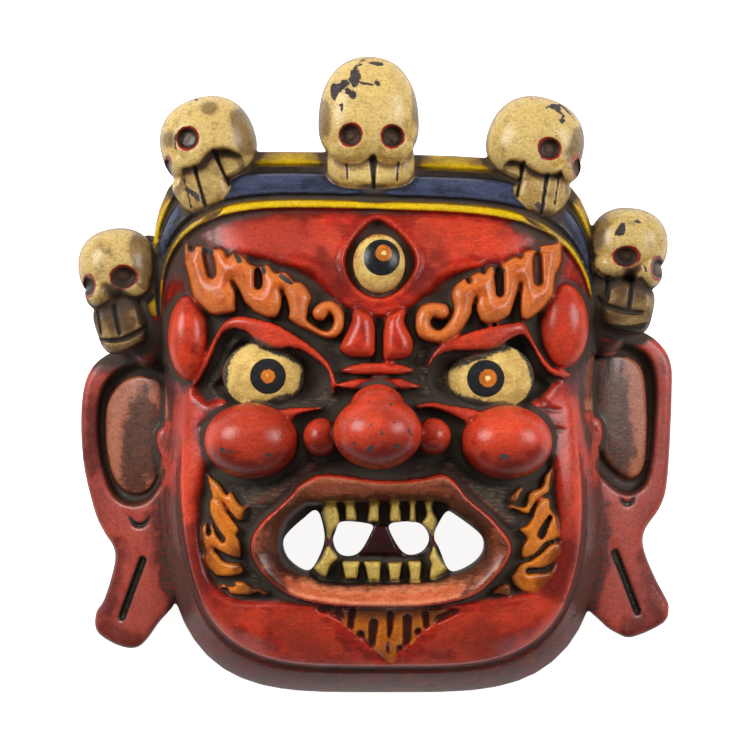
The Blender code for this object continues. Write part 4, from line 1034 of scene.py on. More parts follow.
# %% Draw the five skulls
SKULLS = {
    # egg: middle and radii to the sides, up, down and out; lean in degrees; each cheek, jaw and
    # socket: X, Y and its two radii; gaps between the teeth as strokes
    "top": {
        "cranium": ((-7, 168, 80), (34, 46.5, 28, 28)), "lean": 0,
        "cheeks": [(-19, 154, 15.5, 13), (8, 154, 15.5, 13)],
        "jaw": ((-5.5, 142), (29.5, 17.5)),
        "sockets": [(-19, 160, 7.2, 7.2), (9, 159, 7.2, 7.2)],
        "grooves": [[(-22, 141, 0.6), (-21, 131, 0.5)], [(-4, 145, 2.4), (-3.5, 125, 0.9)],
                    [(13, 142, 0.7), (12, 130, 0.5)]]},
    "upper_left": {
        "cranium": ((-115, 155, 75), (32.5, 33, 27, 28)), "lean": 35,
        "cheeks": [(-106, 158, 16, 12), (-130, 144, 13, 12)],
        "jaw": ((-119.5, 126), (18, 17)),
        "sockets": [(-128, 158, 7.2, 7.2), (-142, 139, 2.5, 6.4)],
        "grooves": [[(-124, 139, 1.1), (-116.5, 113, 0.9)], [(-111, 150, 1.2), (-101, 128, 0.9)],
                    [(-131, 131, 0.5), (-126, 112, 0.5)]]},
    "upper_right": {
        "cranium": ((105, 154, 75), (33, 34, 26, 28)), "lean": -35,
        "cheeks": [(95, 153, 16, 12), (123, 140, 13, 12)],
        "jaw": ((110, 123), (17.5, 16.5)),
        "sockets": [(114, 151, 7.2, 6.8), (133, 139, 2.7, 6.1)],
        "grooves": [[(97, 142, 1.2), (93, 120, 0.9)], [(113, 134, 1.2), (109, 108, 0.9)],
                    [(121, 134, 0.5), (118, 114, 0.5)]]},
    "lower_left": {
        "cranium": ((-178, 73, 54), (27, 27, 22, 26)), "lean": 18,
        "cheeks": [(-167, 62, 12, 11), (-190, 56, 10, 12)],
        "jaw": ((-176, 34), (17, 19)),
        "sockets": [(-172.5, 66, 8.6, 7.2), (-196.6, 60.1, 4.3, 6.6)],
        "grooves": [[(-180, 46, 1.5), (-176, 28, 1.2)], [(-190.8, 43, 0.7), (-188.4, 27.5, 0.6)],
                    [(-164, 50, 0.6), (-157, 36, 0.5)],
                    [(-188, 24, 1.0), (-180.7, 23, 1.5), (-172, 24.6, 1.6), (-164, 28.5, 1.5),
                     (-158, 33, 1.0)]]},
    "lower_right": {
        "cranium": ((170, 88, 54), (27, 26, 21, 26)), "lean": -12,
        "cheeks": [(158, 75, 13, 11), (183, 70, 10, 12)],
        "jaw": ((169, 46), (18, 18)),
        "sockets": [(167, 80, 8.4, 6.3), (189, 72, 4.8, 7.1)],
        "grooves": [[(172.3, 64, 1.5), (169.4, 45, 1.2)], [(155.4, 66, 1.4), (154.8, 51, 1.1)],
                    [(149, 52.3, 1), (154, 47.5, 1.5), (163, 44, 1.6), (171.7, 42.3, 1.5),
                     (179, 42.2, 1)]]}}
print(len(SKULLS), "skulls are drawn")

# %% Build the five skulls
SKULL_BACK = 1.25
SKULL_FULLNESS = 2.3
CHEEK_FRONT = 8.5
CHEEK_DEPTH = 16.0
JAW_FRONT = 17.0
JAW_SQUARENESS = 3.4
NOWHERE = (0.0, 0.0, 0.0)
ROUND = (1.0, 1.0, 1.0)


def leaning(points, place, lean):
    """Turn points about Z by some degrees and carry them to their place."""
    turn = math.radians(lean)
    x = points[:, 0] * math.cos(turn) - points[:, 1] * math.sin(turn)
    y = points[:, 0] * math.sin(turn) + points[:, 1] * math.cos(turn)
    return np.column_stack([x, y, points[:, 2]]) + np.array(place)


def squared(points, power):
    """Push the points of a unit sphere out towards a box with round corners."""
    return points / ((np.abs(points) ** power).sum(axis=1) ** (1.0 / power))[:, None]


def build_skull(name, skull):
    """A cranium, two cheeks and a jaw, still separate."""
    middle, (width, rise, drop, deep) = skull["cranium"]
    cranium = boss(name + "_cranium", NOWHERE, ROUND)
    points = squared(points_of(cranium), SKULL_FULLNESS)
    points[:, 0] *= width
    points[:, 1] *= np.where(points[:, 1] > 0, rise, drop)
    points[:, 2] *= np.where(points[:, 2] > 0, deep, SKULL_BACK * deep)
    move_points(cranium, leaning(points, middle, 0.5 * skull["lean"]))
    (across, up), (jaw_width, jaw_rise) = skull["jaw"]
    jaw = boss(name + "_jaw", NOWHERE, ROUND)
    points = squared(points_of(jaw), JAW_SQUARENESS) * np.array((jaw_width, jaw_rise, JAW_FRONT))
    move_points(jaw, leaning(points, (across, up, middle[2]), skull["lean"]))
    cheeks = [boss(name + "_cheek", (x, y, middle[2] + CHEEK_FRONT), (wide, tall, CHEEK_DEPTH))
              for x, y, wide, tall in skull["cheeks"]]
    return [cranium, jaw] + cheeks


bones = [piece for name, skull in SKULLS.items() for piece in build_skull(name, skull)]
print(len(bones), "pieces make the five skulls")

# %% [markdown]
# ## One skin
#
# Joining puts all the pieces in one mesh, and a voxel remesh melts them into one closed skin
# whose joints are as soft as carved wood. Booleans could join them too, but they would leave
# hard seams where a carver leaves none.

# %% Fuse everything
for piece in swellings + ears + bones:
    piece.select_set(True)
head.select_set(True)
bpy.context.view_layer.objects.active = head
bpy.ops.object.join()
mask = bpy.context.object
fuse(mask, GRAIN)
print("fused into", len(mask.data.vertices), "points")

# %% [markdown]
# ## Eyes and teeth of the skulls
#
# On the real skulls the jaw lies a step lower than the cheekbones, and their lower edge runs
# over the teeth in an arch. The step is pressed in with one outline for each jaw, whose upper
# edge is the arch. Then the sockets are sunk and the gaps between the teeth are cut.

# %% Press the jaws back and cut sockets and teeth
JAW_WINDOWS = {
    "top": [
        (-37.5, 152), (-33, 148.5), (-27.5, 144), (-22, 141.5), (-17, 141), (-12, 142), (-8, 144.5),
        (-5, 145.5), (-1.5, 143.5), (3.5, 141.5), (8.5, 141), (14.5, 142), (19, 146), (23.5, 151),
        (29, 146), (27, 136), (21, 126), (11, 119), (-4, 117), (-20, 119), (-30, 126), (-37, 134),
        (-40, 143)],
    "upper_left": [
        (-137, 125.5), (-133.5, 130), (-132, 137.5), (-126, 139), (-120.5, 141.5), (-115.5, 147.5),
        (-110.5, 150.5), (-102.5, 151), (-96.5, 149), (-92, 146), (-90, 135), (-98, 120),
        (-112, 104), (-124, 100), (-136, 108), (-141, 118)],
    "upper_right": [
        (84.5, 141), (89.5, 143.5), (97, 141.5), (101.5, 138.5), (107.5, 135), (114, 134),
        (119.5, 135), (122, 136), (125.5, 130), (130, 122.5), (133, 112), (124, 98), (108, 98),
        (94, 110), (84, 124), (80, 134)],
    "lower_left": [
        (-197, 42), (-192.5, 43.5), (-191, 45), (-186, 48), (-183, 49.5), (-177, 49), (-169, 48.5),
        (-164.5, 51.5), (-159.5, 54.5), (-153.5, 58.5), (-148, 45), (-150, 28), (-162, 12),
        (-184, 10), (-196, 22)],
    "lower_right": [
        (147.5, 71), (150.5, 69), (154, 67), (157, 65), (162, 63.5), (168, 63), (174, 65),
        (177.5, 65.5), (180.5, 62), (183.5, 58), (187, 56), (189, 44), (180, 32), (160, 28),
        (144, 36), (141, 55)]}
JAW_STEP = 14.5
JAW_RISE = 0.12
JAW_RISE_WIDTH = 9.0
JAW_EDGE = 0.9
SKULL_FRONT = 8.0
SKULL_SOCKET_DEPTH = 6.5
SKULL_SOCKET_WALL = (0.75, 1.1)
TOOTH_GAP_DEPTH = 3.5
TOOTH_GAP_WALL = (-0.6, 0.8)


def cut_skulls(mask):
    """Press the jaws back, sink the eye sockets and cut the gaps between the teeth."""
    points = points_of(mask)
    x, y, z = points.T
    for name, skull in SKULLS.items():
        middle = skull["cranium"][0][2]
        front = ease(0.0, SKULL_FRONT, z - middle)
        window = loop_depth(x, y, JAW_WINDOWS[name])
        pressed = np.minimum(z, middle + JAW_STEP + JAW_RISE * np.clip(window, 0.0, JAW_RISE_WIDTH))
        points[:, 2] += (pressed - z) * ease(-JAW_EDGE, JAW_EDGE, window)
        for across, up, width, rise in skull["sockets"]:
            away = np.hypot((x - across) / width, (y - up) / rise)
            points[:, 2] -= SKULL_SOCKET_DEPTH * (1.0 - ease(*SKULL_SOCKET_WALL, away)) * front
        gap = ease(*TOOTH_GAP_WALL, stroke_depth(x, y, skull["grooves"]))
        points[:, 2] -= TOOTH_GAP_DEPTH * gap * front
    move_points(mask, points)


cut_skulls(mask)
print("cut", sum(len(skull["sockets"]) for skull in SKULLS.values()), "sockets")

# %% [markdown]
# ## Sand it smooth
#
# A light smoothing takes off the stair steps of the voxels, and the back rim is planed flat.
# Then the mesh is thinned, which leaves large triangles where the wood is plain. On the painted
# side the largest are cut again, because the paint is stored on the points.

# %% Smooth and thin the mesh
TRIANGLES = 140000
LONGEST_EDGE = 4.5
CUTS = 2
PAINTED_SIDE = 0.1
SANDING = 0.5
SANDING_PASSES = 2
PLANED = 0.6


def split_long_edges(piece):
    """Cut the long edges of the painted side, so that stored values can change along them."""
    mesh = bmesh.new()
    mesh.from_mesh(piece.data)
    for _ in range(CUTS):
        mesh.normal_update()
        painted = [edge for edge in mesh.edges if min(v.normal.z for v in edge.verts) > PAINTED_SIDE]
        long_edges = [edge for edge in painted if edge.calc_length() > LONGEST_EDGE * MM]
        bmesh.ops.subdivide_edges(mesh, edges=long_edges, cuts=1)
        bmesh.ops.triangulate(mesh, faces=[face for face in mesh.faces if len(face.verts) > 3])
    mesh.to_mesh(piece.data)
    mesh.free()


take_up(mask)
smooth = mask.modifiers.new("sandpaper", "SMOOTH")
smooth.factor = SANDING
smooth.iterations = SANDING_PASSES
bpy.ops.object.modifier_apply(modifier=smooth.name)

points = points_of(mask)
points[:, 2] = np.where(points[:, 2] < PLANED, 0.0, points[:, 2])
move_points(mask, points)

thin = mask.modifiers.new("thin", "DECIMATE")
thin.ratio = TRIANGLES / (2.0 * len(mask.data.polygons))
bpy.ops.object.modifier_apply(modifier=thin.name)
split_long_edges(mask)
bpy.ops.object.shade_smooth()
print("thinned to", len(mask.data.polygons), "triangles")

# %% Carry the mask from its drawing to the frame
points = points_of(mask)
drawing_middle = 0.5 * (points.min(axis=0) + points.max(axis=0))
packed_middle = 0.5 * np.array(mask_low + mask_high) / MM
to_frame = packed_middle - drawing_middle
to_frame[2] = 0.0
move_points(mask, points + to_frame)
print("moved by", np.round(to_frame, 2), "mm")

# %% [markdown]
# ## Where each paint lies
#
# A painter of masks fills each carved shape up to its edge. Here the edges are already known
# from the carving, so every point of the finished mesh is told how many millimetres it lies
# inside each painted shape, and the numbers are stored as attributes. Painting them as colours
# on the points would blur at the size of a triangle. A distance stays sharp, because the
# material decides where zero is.

# %% The painted shapes of the eyes
points = points_of(mask) - to_frame
x, y, z = points.T
paint_maps = {}

LEFT_WHITE = [
    (-84.5, 20.5), (-91, 18), (-96.5, 14), (-99.5, 7.5), (-101, -1), (-100.5, -8), (-98.5, -15.5),
    (-95, -18), (-84.5, -19.5), (-75.5, -18), (-67.5, -14), (-57, -12), (-53.5, -4), (-52.5, 5),
    (-57, 9), (-64, 11.5), (-72.5, 15), (-79, 18)]
RIGHT_WHITE = [
    (90, 17.5), (94, 13), (99, 7.5), (101, -2.5), (100, -12), (96.5, -20.5), (92.5, -23),
    (84, -20.5), (73, -18), (63, -14.5), (53.5, -13), (47.5, -9), (43.5, 1), (50, 3.5),
    (57.5, 6.5), (66.5, 10.5), (77, 13), (81, 15.5)]
THIRD_WHITE = (1.2, 73.7, 18.4, 20.0)
CHEEK_OVALS = [(-85, -44, 31, 25.5), (85, -45, 30, 25)]
IRISES = [(-74.0, -1.0, 12.0), (71.1, -2.5, 12.5), (1.8, 77.9, 12.2)]
GLINTS = [(-74.0, -1.0, 4.8), (72.5, -2.2, 6.0), (3.1, 80.8, 5.6)]
SPARKS = [(-74.0, -0.8, 1.7), (72.3, -2.2, 2.1), (3.0, 80.8, 2.0)]


def ring_depth(x, y, across, up, radius):
    """How deep each point lies inside a circle."""
    return radius - np.hypot(x - across, y - up)


def oval_depth(x, y, across, up, width, rise):
    """How deep each point lies inside an oval, near enough."""
    return (1.0 - np.hypot((x - across) / width, (y - up) / rise)) * min(width, rise)


def nearest(measure, shapes):
    """How deep each point lies inside the nearest of some shapes."""
    return np.max([measure(x, y, *shape) for shape in shapes], axis=0)


def loops_depth(loops):
    """How deep each point lies inside the nearest of some outlines."""
    return np.max([loop_depth(x, y, loop) for loop in loops], axis=0)


cheeks = nearest(oval_depth, CHEEK_OVALS)
whites = np.maximum(loops_depth([LEFT_WHITE, RIGHT_WHITE]), oval_depth(x, y, *THIRD_WHITE))
paint_maps["eye_white"] = np.minimum(whites, -cheeks)
paint_maps["iris"] = nearest(ring_depth, IRISES)
paint_maps["glint"] = nearest(ring_depth, GLINTS)
paint_maps["spark"] = nearest(ring_depth, SPARKS)
print("the eyes take", len(paint_maps), "maps over", len(x), "points")

# %% Brows, beard, mouth and ears
BLOOD_GAP = (16, 19, -87, 16, 19, -99)
LOBE_GAP = 1.0

paint_maps["brow"] = brow_depth(x, y)
paint_maps["beard"] = beard_depth(x, y)
paint_maps["lip"] = loop_depth(x, y, LIPS_OUTER)
paint_maps["mouth"] = loop_depth(x, y, LIPS_INNER)
paint_maps["tooth"] = teeth_depth(x, y)
paint_maps["tongue"] = slab_depth(x, y, TONGUE)
paint_maps["mouth_blood"] = np.maximum(stroke_depth(x, y, FANG_LINKS), slab_depth(x, y, BLOOD_GAP))
ear_lobes = stroke_depth(x, y, EAR_LOBES)
paint_maps["ear_shell"] = np.minimum(loops_depth(EAR_SHELLS), -ear_lobes - LOBE_GAP)
paint_maps["ear_bowl"] = np.minimum(loops_depth(EAR_BOWLS), -ear_lobes)
paint_maps["ear_cut"] = stroke_depth(x, y, EAR_SLOTS)
print("so far", len(paint_maps), "maps")

# %% [markdown]
# ## The sunken ground of the face
#
# The deep ground between the features is olive brown. It has no drawn outline: it lies inside
# the sunken part of the face, wherever the surface is a few millimetres below the plain dome.
# A brown rim of its own follows the chin.

# %% The sunken ground and the rim of the chin
BESIDE_LIPS = 2.5
GROUND_EDGE = 1.0
GROUND_DEPTH = 4.0
FOREHEAD_LEVEL = (38.0, 60.0)
FOREHEAD_COST = 4.0
THIRD_EYE_LEVEL = 45.0
ROUND_EYES = 4.5
CHEEK_GAP = 0.5
NO_GROUND = -9.0
HEAD_REACH = 130.0
RIM_END = 1.03
RIM_COST = 60.0

relief = z - dome_height(x, y)
beside_lips = np.minimum(loop_depth(x, y, SUNKEN_FACE), -BESIDE_LIPS - paint_maps["lip"])
sunken = np.minimum(beside_lips - GROUND_EDGE, -GROUND_DEPTH - relief)
sunken = sunken - FOREHEAD_COST * ease(*FOREHEAD_LEVEL, y)
round_eyes = np.where(y < THIRD_EYE_LEVEL, paint_maps["eye_white"] + ROUND_EYES, NO_GROUND)
paint_maps["recess"] = np.maximum(sunken, np.minimum(round_eyes, -cheeks - CHEEK_GAP))
rim = head_ratio(x, y)
on_rim = np.minimum(HEAD_REACH * (rim - CHIN_RIM), HEAD_REACH * (RIM_END - rim))
paint_maps["chin_rim"] = on_rim - RIM_COST * (1.0 - ease(*LOW_FACE, -y))
print("the ground covers", int((paint_maps["recess"] > 0).sum()), "points")


# %% How deep a point lies inside a skull
EGG_MIDDLE = 0.05
SPHERE = 2.0


def inside_egg(away, sizes, power):
    """Depth below the skin of a squared egg, along the line to its middle."""
    share = ((np.abs(away) / sizes) ** power).sum(axis=1) ** (1.0 / power)
    return (1.0 / np.maximum(share, EGG_MIDDLE) - 1.0) * np.linalg.norm(away, axis=1)


def skull_depth(points, skull):
    """How deep each point lies inside the nearest egg or block of a skull."""
    middle, (width, rise, drop, deep) = skull["cranium"]
    away = leaning(points - np.array(middle), NOWHERE, -0.5 * skull["lean"])
    sizes = np.column_stack([np.full(len(away), width), np.where(away[:, 1] > 0, rise, drop),
                             np.where(away[:, 2] > 0, deep, SKULL_BACK * deep)])
    depths = [inside_egg(away, sizes, SKULL_FULLNESS)]
    (across, up), (jaw_width, jaw_rise) = skull["jaw"]
    away = leaning(points - np.array((across, up, middle[2])), NOWHERE, -skull["lean"])
    depths.append(inside_egg(away, np.array([(jaw_width, jaw_rise, JAW_FRONT)]), JAW_SQUARENESS))
    for across, up, wide, tall in skull["cheeks"]:
        away = points - np.array((across, up, middle[2] + CHEEK_FRONT))
        depths.append(inside_egg(away, np.array([(wide, tall, CHEEK_DEPTH)]), SPHERE))
    return np.max(depths, axis=0)


bones_depth = np.max([skull_depth(points, skull) for skull in SKULLS.values()], axis=0)
print("the skulls hold", int((bones_depth > -1.0).sum()), "points")

# %% The band, the skulls and the bare wood
BELOW_CHINS = [
    [(-192, 8, 6), (-176, 8, 7), (-158, 14, 9)], [(-155, 52, 2), (-153, 30, 6)],
    [(146, 31, 5), (166, 25, 8), (186, 32, 4)]]
CHIN_SPREAD = 2.0
NEAR_BONE = 6.0
BAND_INSET = 5.0
CEILING_SKIN = 3.0
HOLLOW_EDGE = 1.02
HOLLOW_REACH = 12.0
RIM_SKIN = 1.0
BACK_EDGE = 16.0

by_bone = bones_depth + NEAR_BONE
paint_maps["below_chin"] = np.minimum(stroke_depth(x, y, BELOW_CHINS) + CHIN_SPREAD, by_bone)
paint_maps["bone"] = np.minimum(bones_depth, -paint_maps["below_chin"])
sockets = [socket for skull in SKULLS.values() for socket in skull["sockets"]]
paint_maps["skull_socket"] = np.minimum(nearest(oval_depth, sockets), by_bone)
grooves = [groove for skull in SKULLS.values() for groove in skull["grooves"]]
paint_maps["skull_groove"] = np.minimum(stroke_depth(x, y, grooves), by_bone)
over_band = (band_ratio(x, y) - 1.0) * BAND_RISE
paint_maps["band"] = np.minimum(over_band, y - BAND_ENDS - BAND_INSET)
paint_maps["band_share"] = band_share(x, y)
above_ceiling = z - ceiling(x, y)
in_hollow = np.minimum(CEILING_SKIN - above_ceiling, HOLLOW_REACH * (HOLLOW_EDGE - hollow_share(x, y)))
paint_maps["bare_wood"] = np.maximum(in_hollow, RIM_SKIN - z)
paint_maps["back_edge"] = BACK_EDGE - z
print("bare wood covers", int((paint_maps["bare_wood"] > 0.0).sum()), "points")

# %% [markdown]
# ## Where the dark wash and painted shade settle, and where edges wear and take painted highlights
#
# The dark wash stays in hollows and the highest edges rub pale. The darkening in creases and
# hollows is partly the mask's own dark wash and partly painted shade, and the paler ridges are
# partly worn paint and partly painted highlight. Both follow from one question: is this place
# lower or higher than its surroundings? The answer comes from a height picture of the front,
# blurred over a few millimetres and over a centimetre, less the height itself.

# %% A height picture of the front
CELL = 1.0
BORDER = 5
BELL_REACH = 3
GAP_SPREAD = 1.5
COVERED = 0.2


def blurred(field, spread):
    """A field of heights blurred by a bell curve, first along its rows and then its columns."""
    reach = int(BELL_REACH * spread / CELL)
    steps = np.arange(-reach, reach + 1) * CELL
    bell = np.exp(-0.5 * (steps / spread) ** 2)
    bell = bell / bell.sum()
    rows = np.apply_along_axis(np.convolve, 1, field, bell, mode="same")
    return np.apply_along_axis(np.convolve, 0, rows, bell, mode="same")


def facing(piece):
    """How far each point's normal turns up, from -1 to 1."""
    flat = np.empty(3 * len(piece.data.vertices))
    piece.data.vertices.foreach_get("normal", flat)
    return flat.reshape(-1, 3)[:, 2]


up_share = facing(mask)
columns = np.round((x - x.min()) / CELL).astype(int) + BORDER
rows = np.round((y - y.min()) / CELL).astype(int) + BORDER
field = np.zeros((rows.max() + BORDER + 1, columns.max() + BORDER + 1))
seen = up_share > 0.0
np.maximum.at(field, (rows[seen], columns[seen]), z[seen])
known = (field > 0.0).astype(float)
covered = (blurred(known, GAP_SPREAD) > COVERED).astype(float)
print("the height picture is", field.shape[1], "by", field.shape[0], "mm")

# %% Compare every height with its surroundings
EDGE_FALL = 3.0
LEAST_KNOWN = 1e-3
DEEPEST = 12.0
CREASE_SPREAD = 2.5
HOLLOW_SPREAD = 8.0
TURNED_UP = (0.05, 0.5)
TURNED_DOWN = -0.3
UNDERSIDE_BLEND = 10.0
BONE_GAP = 1.5
EAR_BACK = 30.0
EAR_START = 146.0


def lower_than_around(spread):
    """Positive in hollows and negative on ridges, in millimetres."""
    around = blurred(field, spread) / np.maximum(blurred(known, spread), LEAST_KNOWN)
    on_mask = blurred(covered, spread)[rows, columns]
    lower = (around[rows, columns] - z) * on_mask - EDGE_FALL * (1.0 - on_mask)
    return np.clip(lower, -DEEPEST, DEEPEST) * ease(*TURNED_UP, up_share)


# Creases and hollows darken the paint further on: partly the mask's own dark wash, partly painted shade.
# Their negative side, the ridges, is paled as worn paint and painted highlight.
paint_maps["crease"] = lower_than_around(CREASE_SPREAD)
paint_maps["hollow"] = lower_than_around(HOLLOW_SPREAD)
# Steep walls are darkened by the wash further on, which is painted shade.
paint_maps["steep"] = 1.0 - np.abs(up_share)
underside = np.min([UNDERSIDE_BLEND * (TURNED_DOWN - up_share), -BONE_GAP - paint_maps["bone"],
                    EAR_BACK - z, np.abs(x) - EAR_START], axis=0)
paint_maps["bare_wood"] = np.maximum(paint_maps["bare_wood"], underside)
print("creases run from", round(float(paint_maps["crease"].min()), 1), "to",
      round(float(paint_maps["crease"].max()), 1), "mm")

# %% [markdown]
# ## Stains, chips, rubbed places, painted shade and painted highlights
#
# Some marks follow no crease: dark in the corners of the mouth, chips on the nose, dark under
# the chins of the skulls. Some strokes are painted shade under the nose and the cheeks, and some
# rubbed places are painted highlights on the cheeks, the nose and the sides of the face. A noise
# could scatter all of it, but the chips of an old mask sit where it was held and knocked, and
# the painted shade and highlights follow the forms, so they are placed as strokes and only their
# edges are left to noise. The lips and beards darken evenly towards one side.

# %% Darkening of lips and beards, and stains on ear shells
MOUTH_MIDDLE = -2.0
LIP_DARKENING = [
    # amount, the values between which it grows, what it follows
    (0.75, (-9.0, 1.0), paint_maps["mouth"]), (0.45, (-108.0, -88.0), y),
    (0.7, (40.0, 70.0), np.abs(x - MOUTH_MIDDLE))]
CHIN_BEARD_HALF = 60.0
CHIN_BEARD_FADE = (-173.0, -157.0)
SIDE_BEARD_FADE = (-104.0, -84.0)
SHELL_STAINS = [
    [(-164, -20, 4), (-162, -38, 12), (-163, -56, 12), (-168, -70, 8)],
    [(164, 4, 5), (160, -14, 10), (162, -38, 10), (166, -58, 8)]]
SHELL_STAIN_FADE = (-8.0, 4.0)


def gathered_darkening(stains):
    """The sum of some darkenings, each growing between two values of what it follows."""
    return np.sum([amount * ease(*fade, where) for amount, fade, where in stains], axis=0)


paint_maps["lip_darkening"] = gathered_darkening(LIP_DARKENING)
chin_root, side_root = ease(*CHIN_BEARD_FADE, y), ease(*SIDE_BEARD_FADE, -np.abs(x))
paint_maps["beard_stain"] = np.where(np.abs(x) < CHIN_BEARD_HALF, chin_root, side_root)
paint_maps["shell_stain"] = ease(*SHELL_STAIN_FADE, stroke_depth(x, y, SHELL_STAINS))
print("the lips are stained up to", round(float(paint_maps["lip_darkening"].max()), 2))

# %% Chips, dark wash and painted shadow, painted shade, and rubbed places and painted highlights
CHIPS = [
    [(-7, -17, 0.9)], [(8, -19.5, 1.4)], [(-5, -31.5, 1.1), (-6, -36, 0.8)],
    [(1.5, -35, 0.7), (1.5, -43, 1)], [(-16, -45, 1.5)], [(-4, -46, 1.2), (-7, -49, 1.8)],
    [(9, -46, 0.9), (13, -46, 1.4)], [(10, -31, 1.2)], [(18.5, -34, 0.6), (21.5, -40.5, 1)],
    [(-26.5, -39, 0.9)], [(-81.5, -36.5, 1.2)], [(-103.5, -49.5, 2)], [(-97.5, -51, 1.6)],
    [(-73, -52, 1.7), (-72.5, -55, 1.2)], [(-86, -42, 0.6)], [(-77, -40.5, 0.6)],
    [(75, -41.5, 0.9)], [(95.5, -43.5, 1.1)], [(81, -53.5, 1.6), (86, -55, 1.2)],
    [(67, -54, 0.6)],
    [(-117, 84.5, 2.2), (-113, 82.5, 2.5)], [(-96, 80.5, 1.4), (-93, 76, 1.8)],
    [(-104, 84, 1), (-100, 81.5, 1.2)], [(-77.5, 72.5, 1.2), (-76.5, 68.5, 1.8)],
    [(-66, 66.5, 1.2), (-61.5, 63, 1.7), (-58, 60.5, 1.2)], [(78, 70, 2), (82, 69, 2.2)],
    [(106.5, 84, 2)], [(58.5, 65.5, 1)], [(69.5, 70, 1.4)], [(88, 78, 0.8)], [(94.5, 80, 1.4)]]
# These dark strokes are partly dark wash and partly painted shadow: under the band, under the lower skulls
# and down the steep sides of the head.
WASH_AND_SHADOW_STROKES = [
    [(-126, 97, 7), (-110, 100, 5), (-92, 102, 2), (-62, 104, -2)], [(118, 98, 5), (96, 98, 3)],
    [(-118, 105, 6), (-129, 92, 5), (-141, 72, 4)], [(114, 103, 6)], [(-4, 119, 3)],
    [(-190, 14, 6), (-172, 12, 7), (-156, 20, 8)], [(148, 32, 5), (166, 28, 8), (184, 34, 4)],
    [(-100, 103, 0.5), (-70, 104, -2), (-40, 105, -5)],
    [(-178, 45, 14), (-162, 25, 10), (-152, 5, 4)], [(168, 58, 12), (156, 40, 9), (150, 24, 4)],
    [(-146, -128, 6), (-138, -150, 6)], [(152, -128, 5), (140, -150, 5)]]
# These strokes are mostly painted shade, on the lower sides of the nose, the nostrils and the cheeks, with
# dark marks on the ears, the sides of the face and beside the third eye.
SHADES = [
    [(-24, -52, 3), (-4, -57, 3), (16, -53, 3)], [(-48, -49, 1), (-36, -53, 2)],
    [(34, -53, 2), (46, -49, 1)], [(-106, -58, 4), (-86, -66, 4), (-62, -60, 3)],
    [(62, -60, 3), (86, -66, 4), (106, -58, 4)],
    [(-128, -108, 5), (-122, -136, 7)], [(126, -120, 4), (118, -140, 6)],
    [(-64, -136, 5), (-92, -120, 4)],
    [(-150, 2, 5), (-140, -10, 4)], [(150, 4, 5), (140, -8, 4)],
    [(-150, -98, 3), (-144, -130, 5)], [(-180, -120, 1), (-190, -160, 2)],
    [(-192, -176, 3), (-172, -184, 2)], [(190, -170, 2), (172, -176, 2)],
    [(150, -96, 3), (146, -128, 4)], [(186, -128, 1), (192, -160, 1)],
    [(-196, -20, 1), (-198, -60, 1)],
    [(-38, 79, 1), (-24, 60, 3)], [(38, 76, 1), (26, 60, 3)]]
# These rubbed places are partly worn paint and partly painted highlights, on the upper sides of the cheeks
# and the nose and along the sides of the face.
RUBS_AND_HIGHLIGHTS = [
    [(-88, -30, 6), (-98, -38, 5)], [(80, -30, 8)], [(-8, -30, 6)],
    [(-131, -15, 1), (-133, -60, 2), (-129, -105, 1.5)],
    [(131, -20, 1), (132, -60, 2), (128, -105, 1.5)]]
WASH_AND_SHADOW_FADE = 12.0
SHADE_FADE = 14.0
RUB_AND_HIGHLIGHT_FADE = 10.0


def soft_strokes(strokes, fade):
    """1 inside the strokes, fading to 0 over some millimetres outside them."""
    return ease(-fade, 0.0, stroke_depth(x, y, strokes))


paint_maps["wash_and_shadow"] = soft_strokes(WASH_AND_SHADOW_STROKES, WASH_AND_SHADOW_FADE)
paint_maps["shade"] = soft_strokes(SHADES, SHADE_FADE)
paint_maps["rub_and_highlight"] = soft_strokes(RUBS_AND_HIGHLIGHTS, RUB_AND_HIGHLIGHT_FADE)
print(len(CHIPS), "chips,", len(WASH_AND_SHADOW_STROKES), "washes,", len(SHADES), "shades and", len(RUBS_AND_HIGHLIGHTS), "rubbed places")

# %% Flakes, nicks, stains and painted shade of the skulls
BONE_FLAKES = [
    [(-32.5, 193), (-31, 195.5), (-27, 194.5), (-24.5, 197), (-19.5, 197), (-21, 198),
     (-15.5, 201.5), (-12, 201), (-13, 195.5), (-15.5, 191), (-18.5, 192), (-19, 194.5),
     (-21, 192.5), (-25.5, 189.5), (-28.5, 185.5), (-29.5, 183), (-32, 185.5), (-32.5, 189.5)],
    [(-24.5, 188.5), (-21, 192), (-19, 189.5), (-15.5, 189.5), (-15, 185), (-16.5, 183),
     (-19, 184), (-21, 187)],
    [(-19.5, 202.5), (-16.5, 206.5), (-13, 209), (-13.5, 211), (-9.5, 212.5), (-7, 212),
     (-9.5, 210.5), (-11.5, 209), (-12, 206), (-14.5, 204.5), (-17.5, 202.5)],
    [(-8.5, 208.5), (-5.5, 209.5), (1.5, 209.5), (3, 207), (0.5, 206.5), (-4, 207.5)],
    [(-2.5, 197), (2, 194.5), (-0.5, 192.5), (-3, 192.5), (-5.5, 192), (-7, 193), (-3, 193.5)],
    [(111.5, 178.5), (114, 181.5), (118, 182), (122, 180.5), (121, 177), (124.5, 173.5),
     (124.5, 169.5), (123, 166.5), (120.5, 169.5), (114.5, 172), (121, 171), (122.5, 172.5),
     (119.5, 176), (116.5, 178.5), (113.5, 177.5)],
    [(159, 94), (159.5, 97), (162.5, 102), (165.5, 103), (166.5, 102), (166.5, 97), (165.5, 94.5),
     (162, 93.5)]]
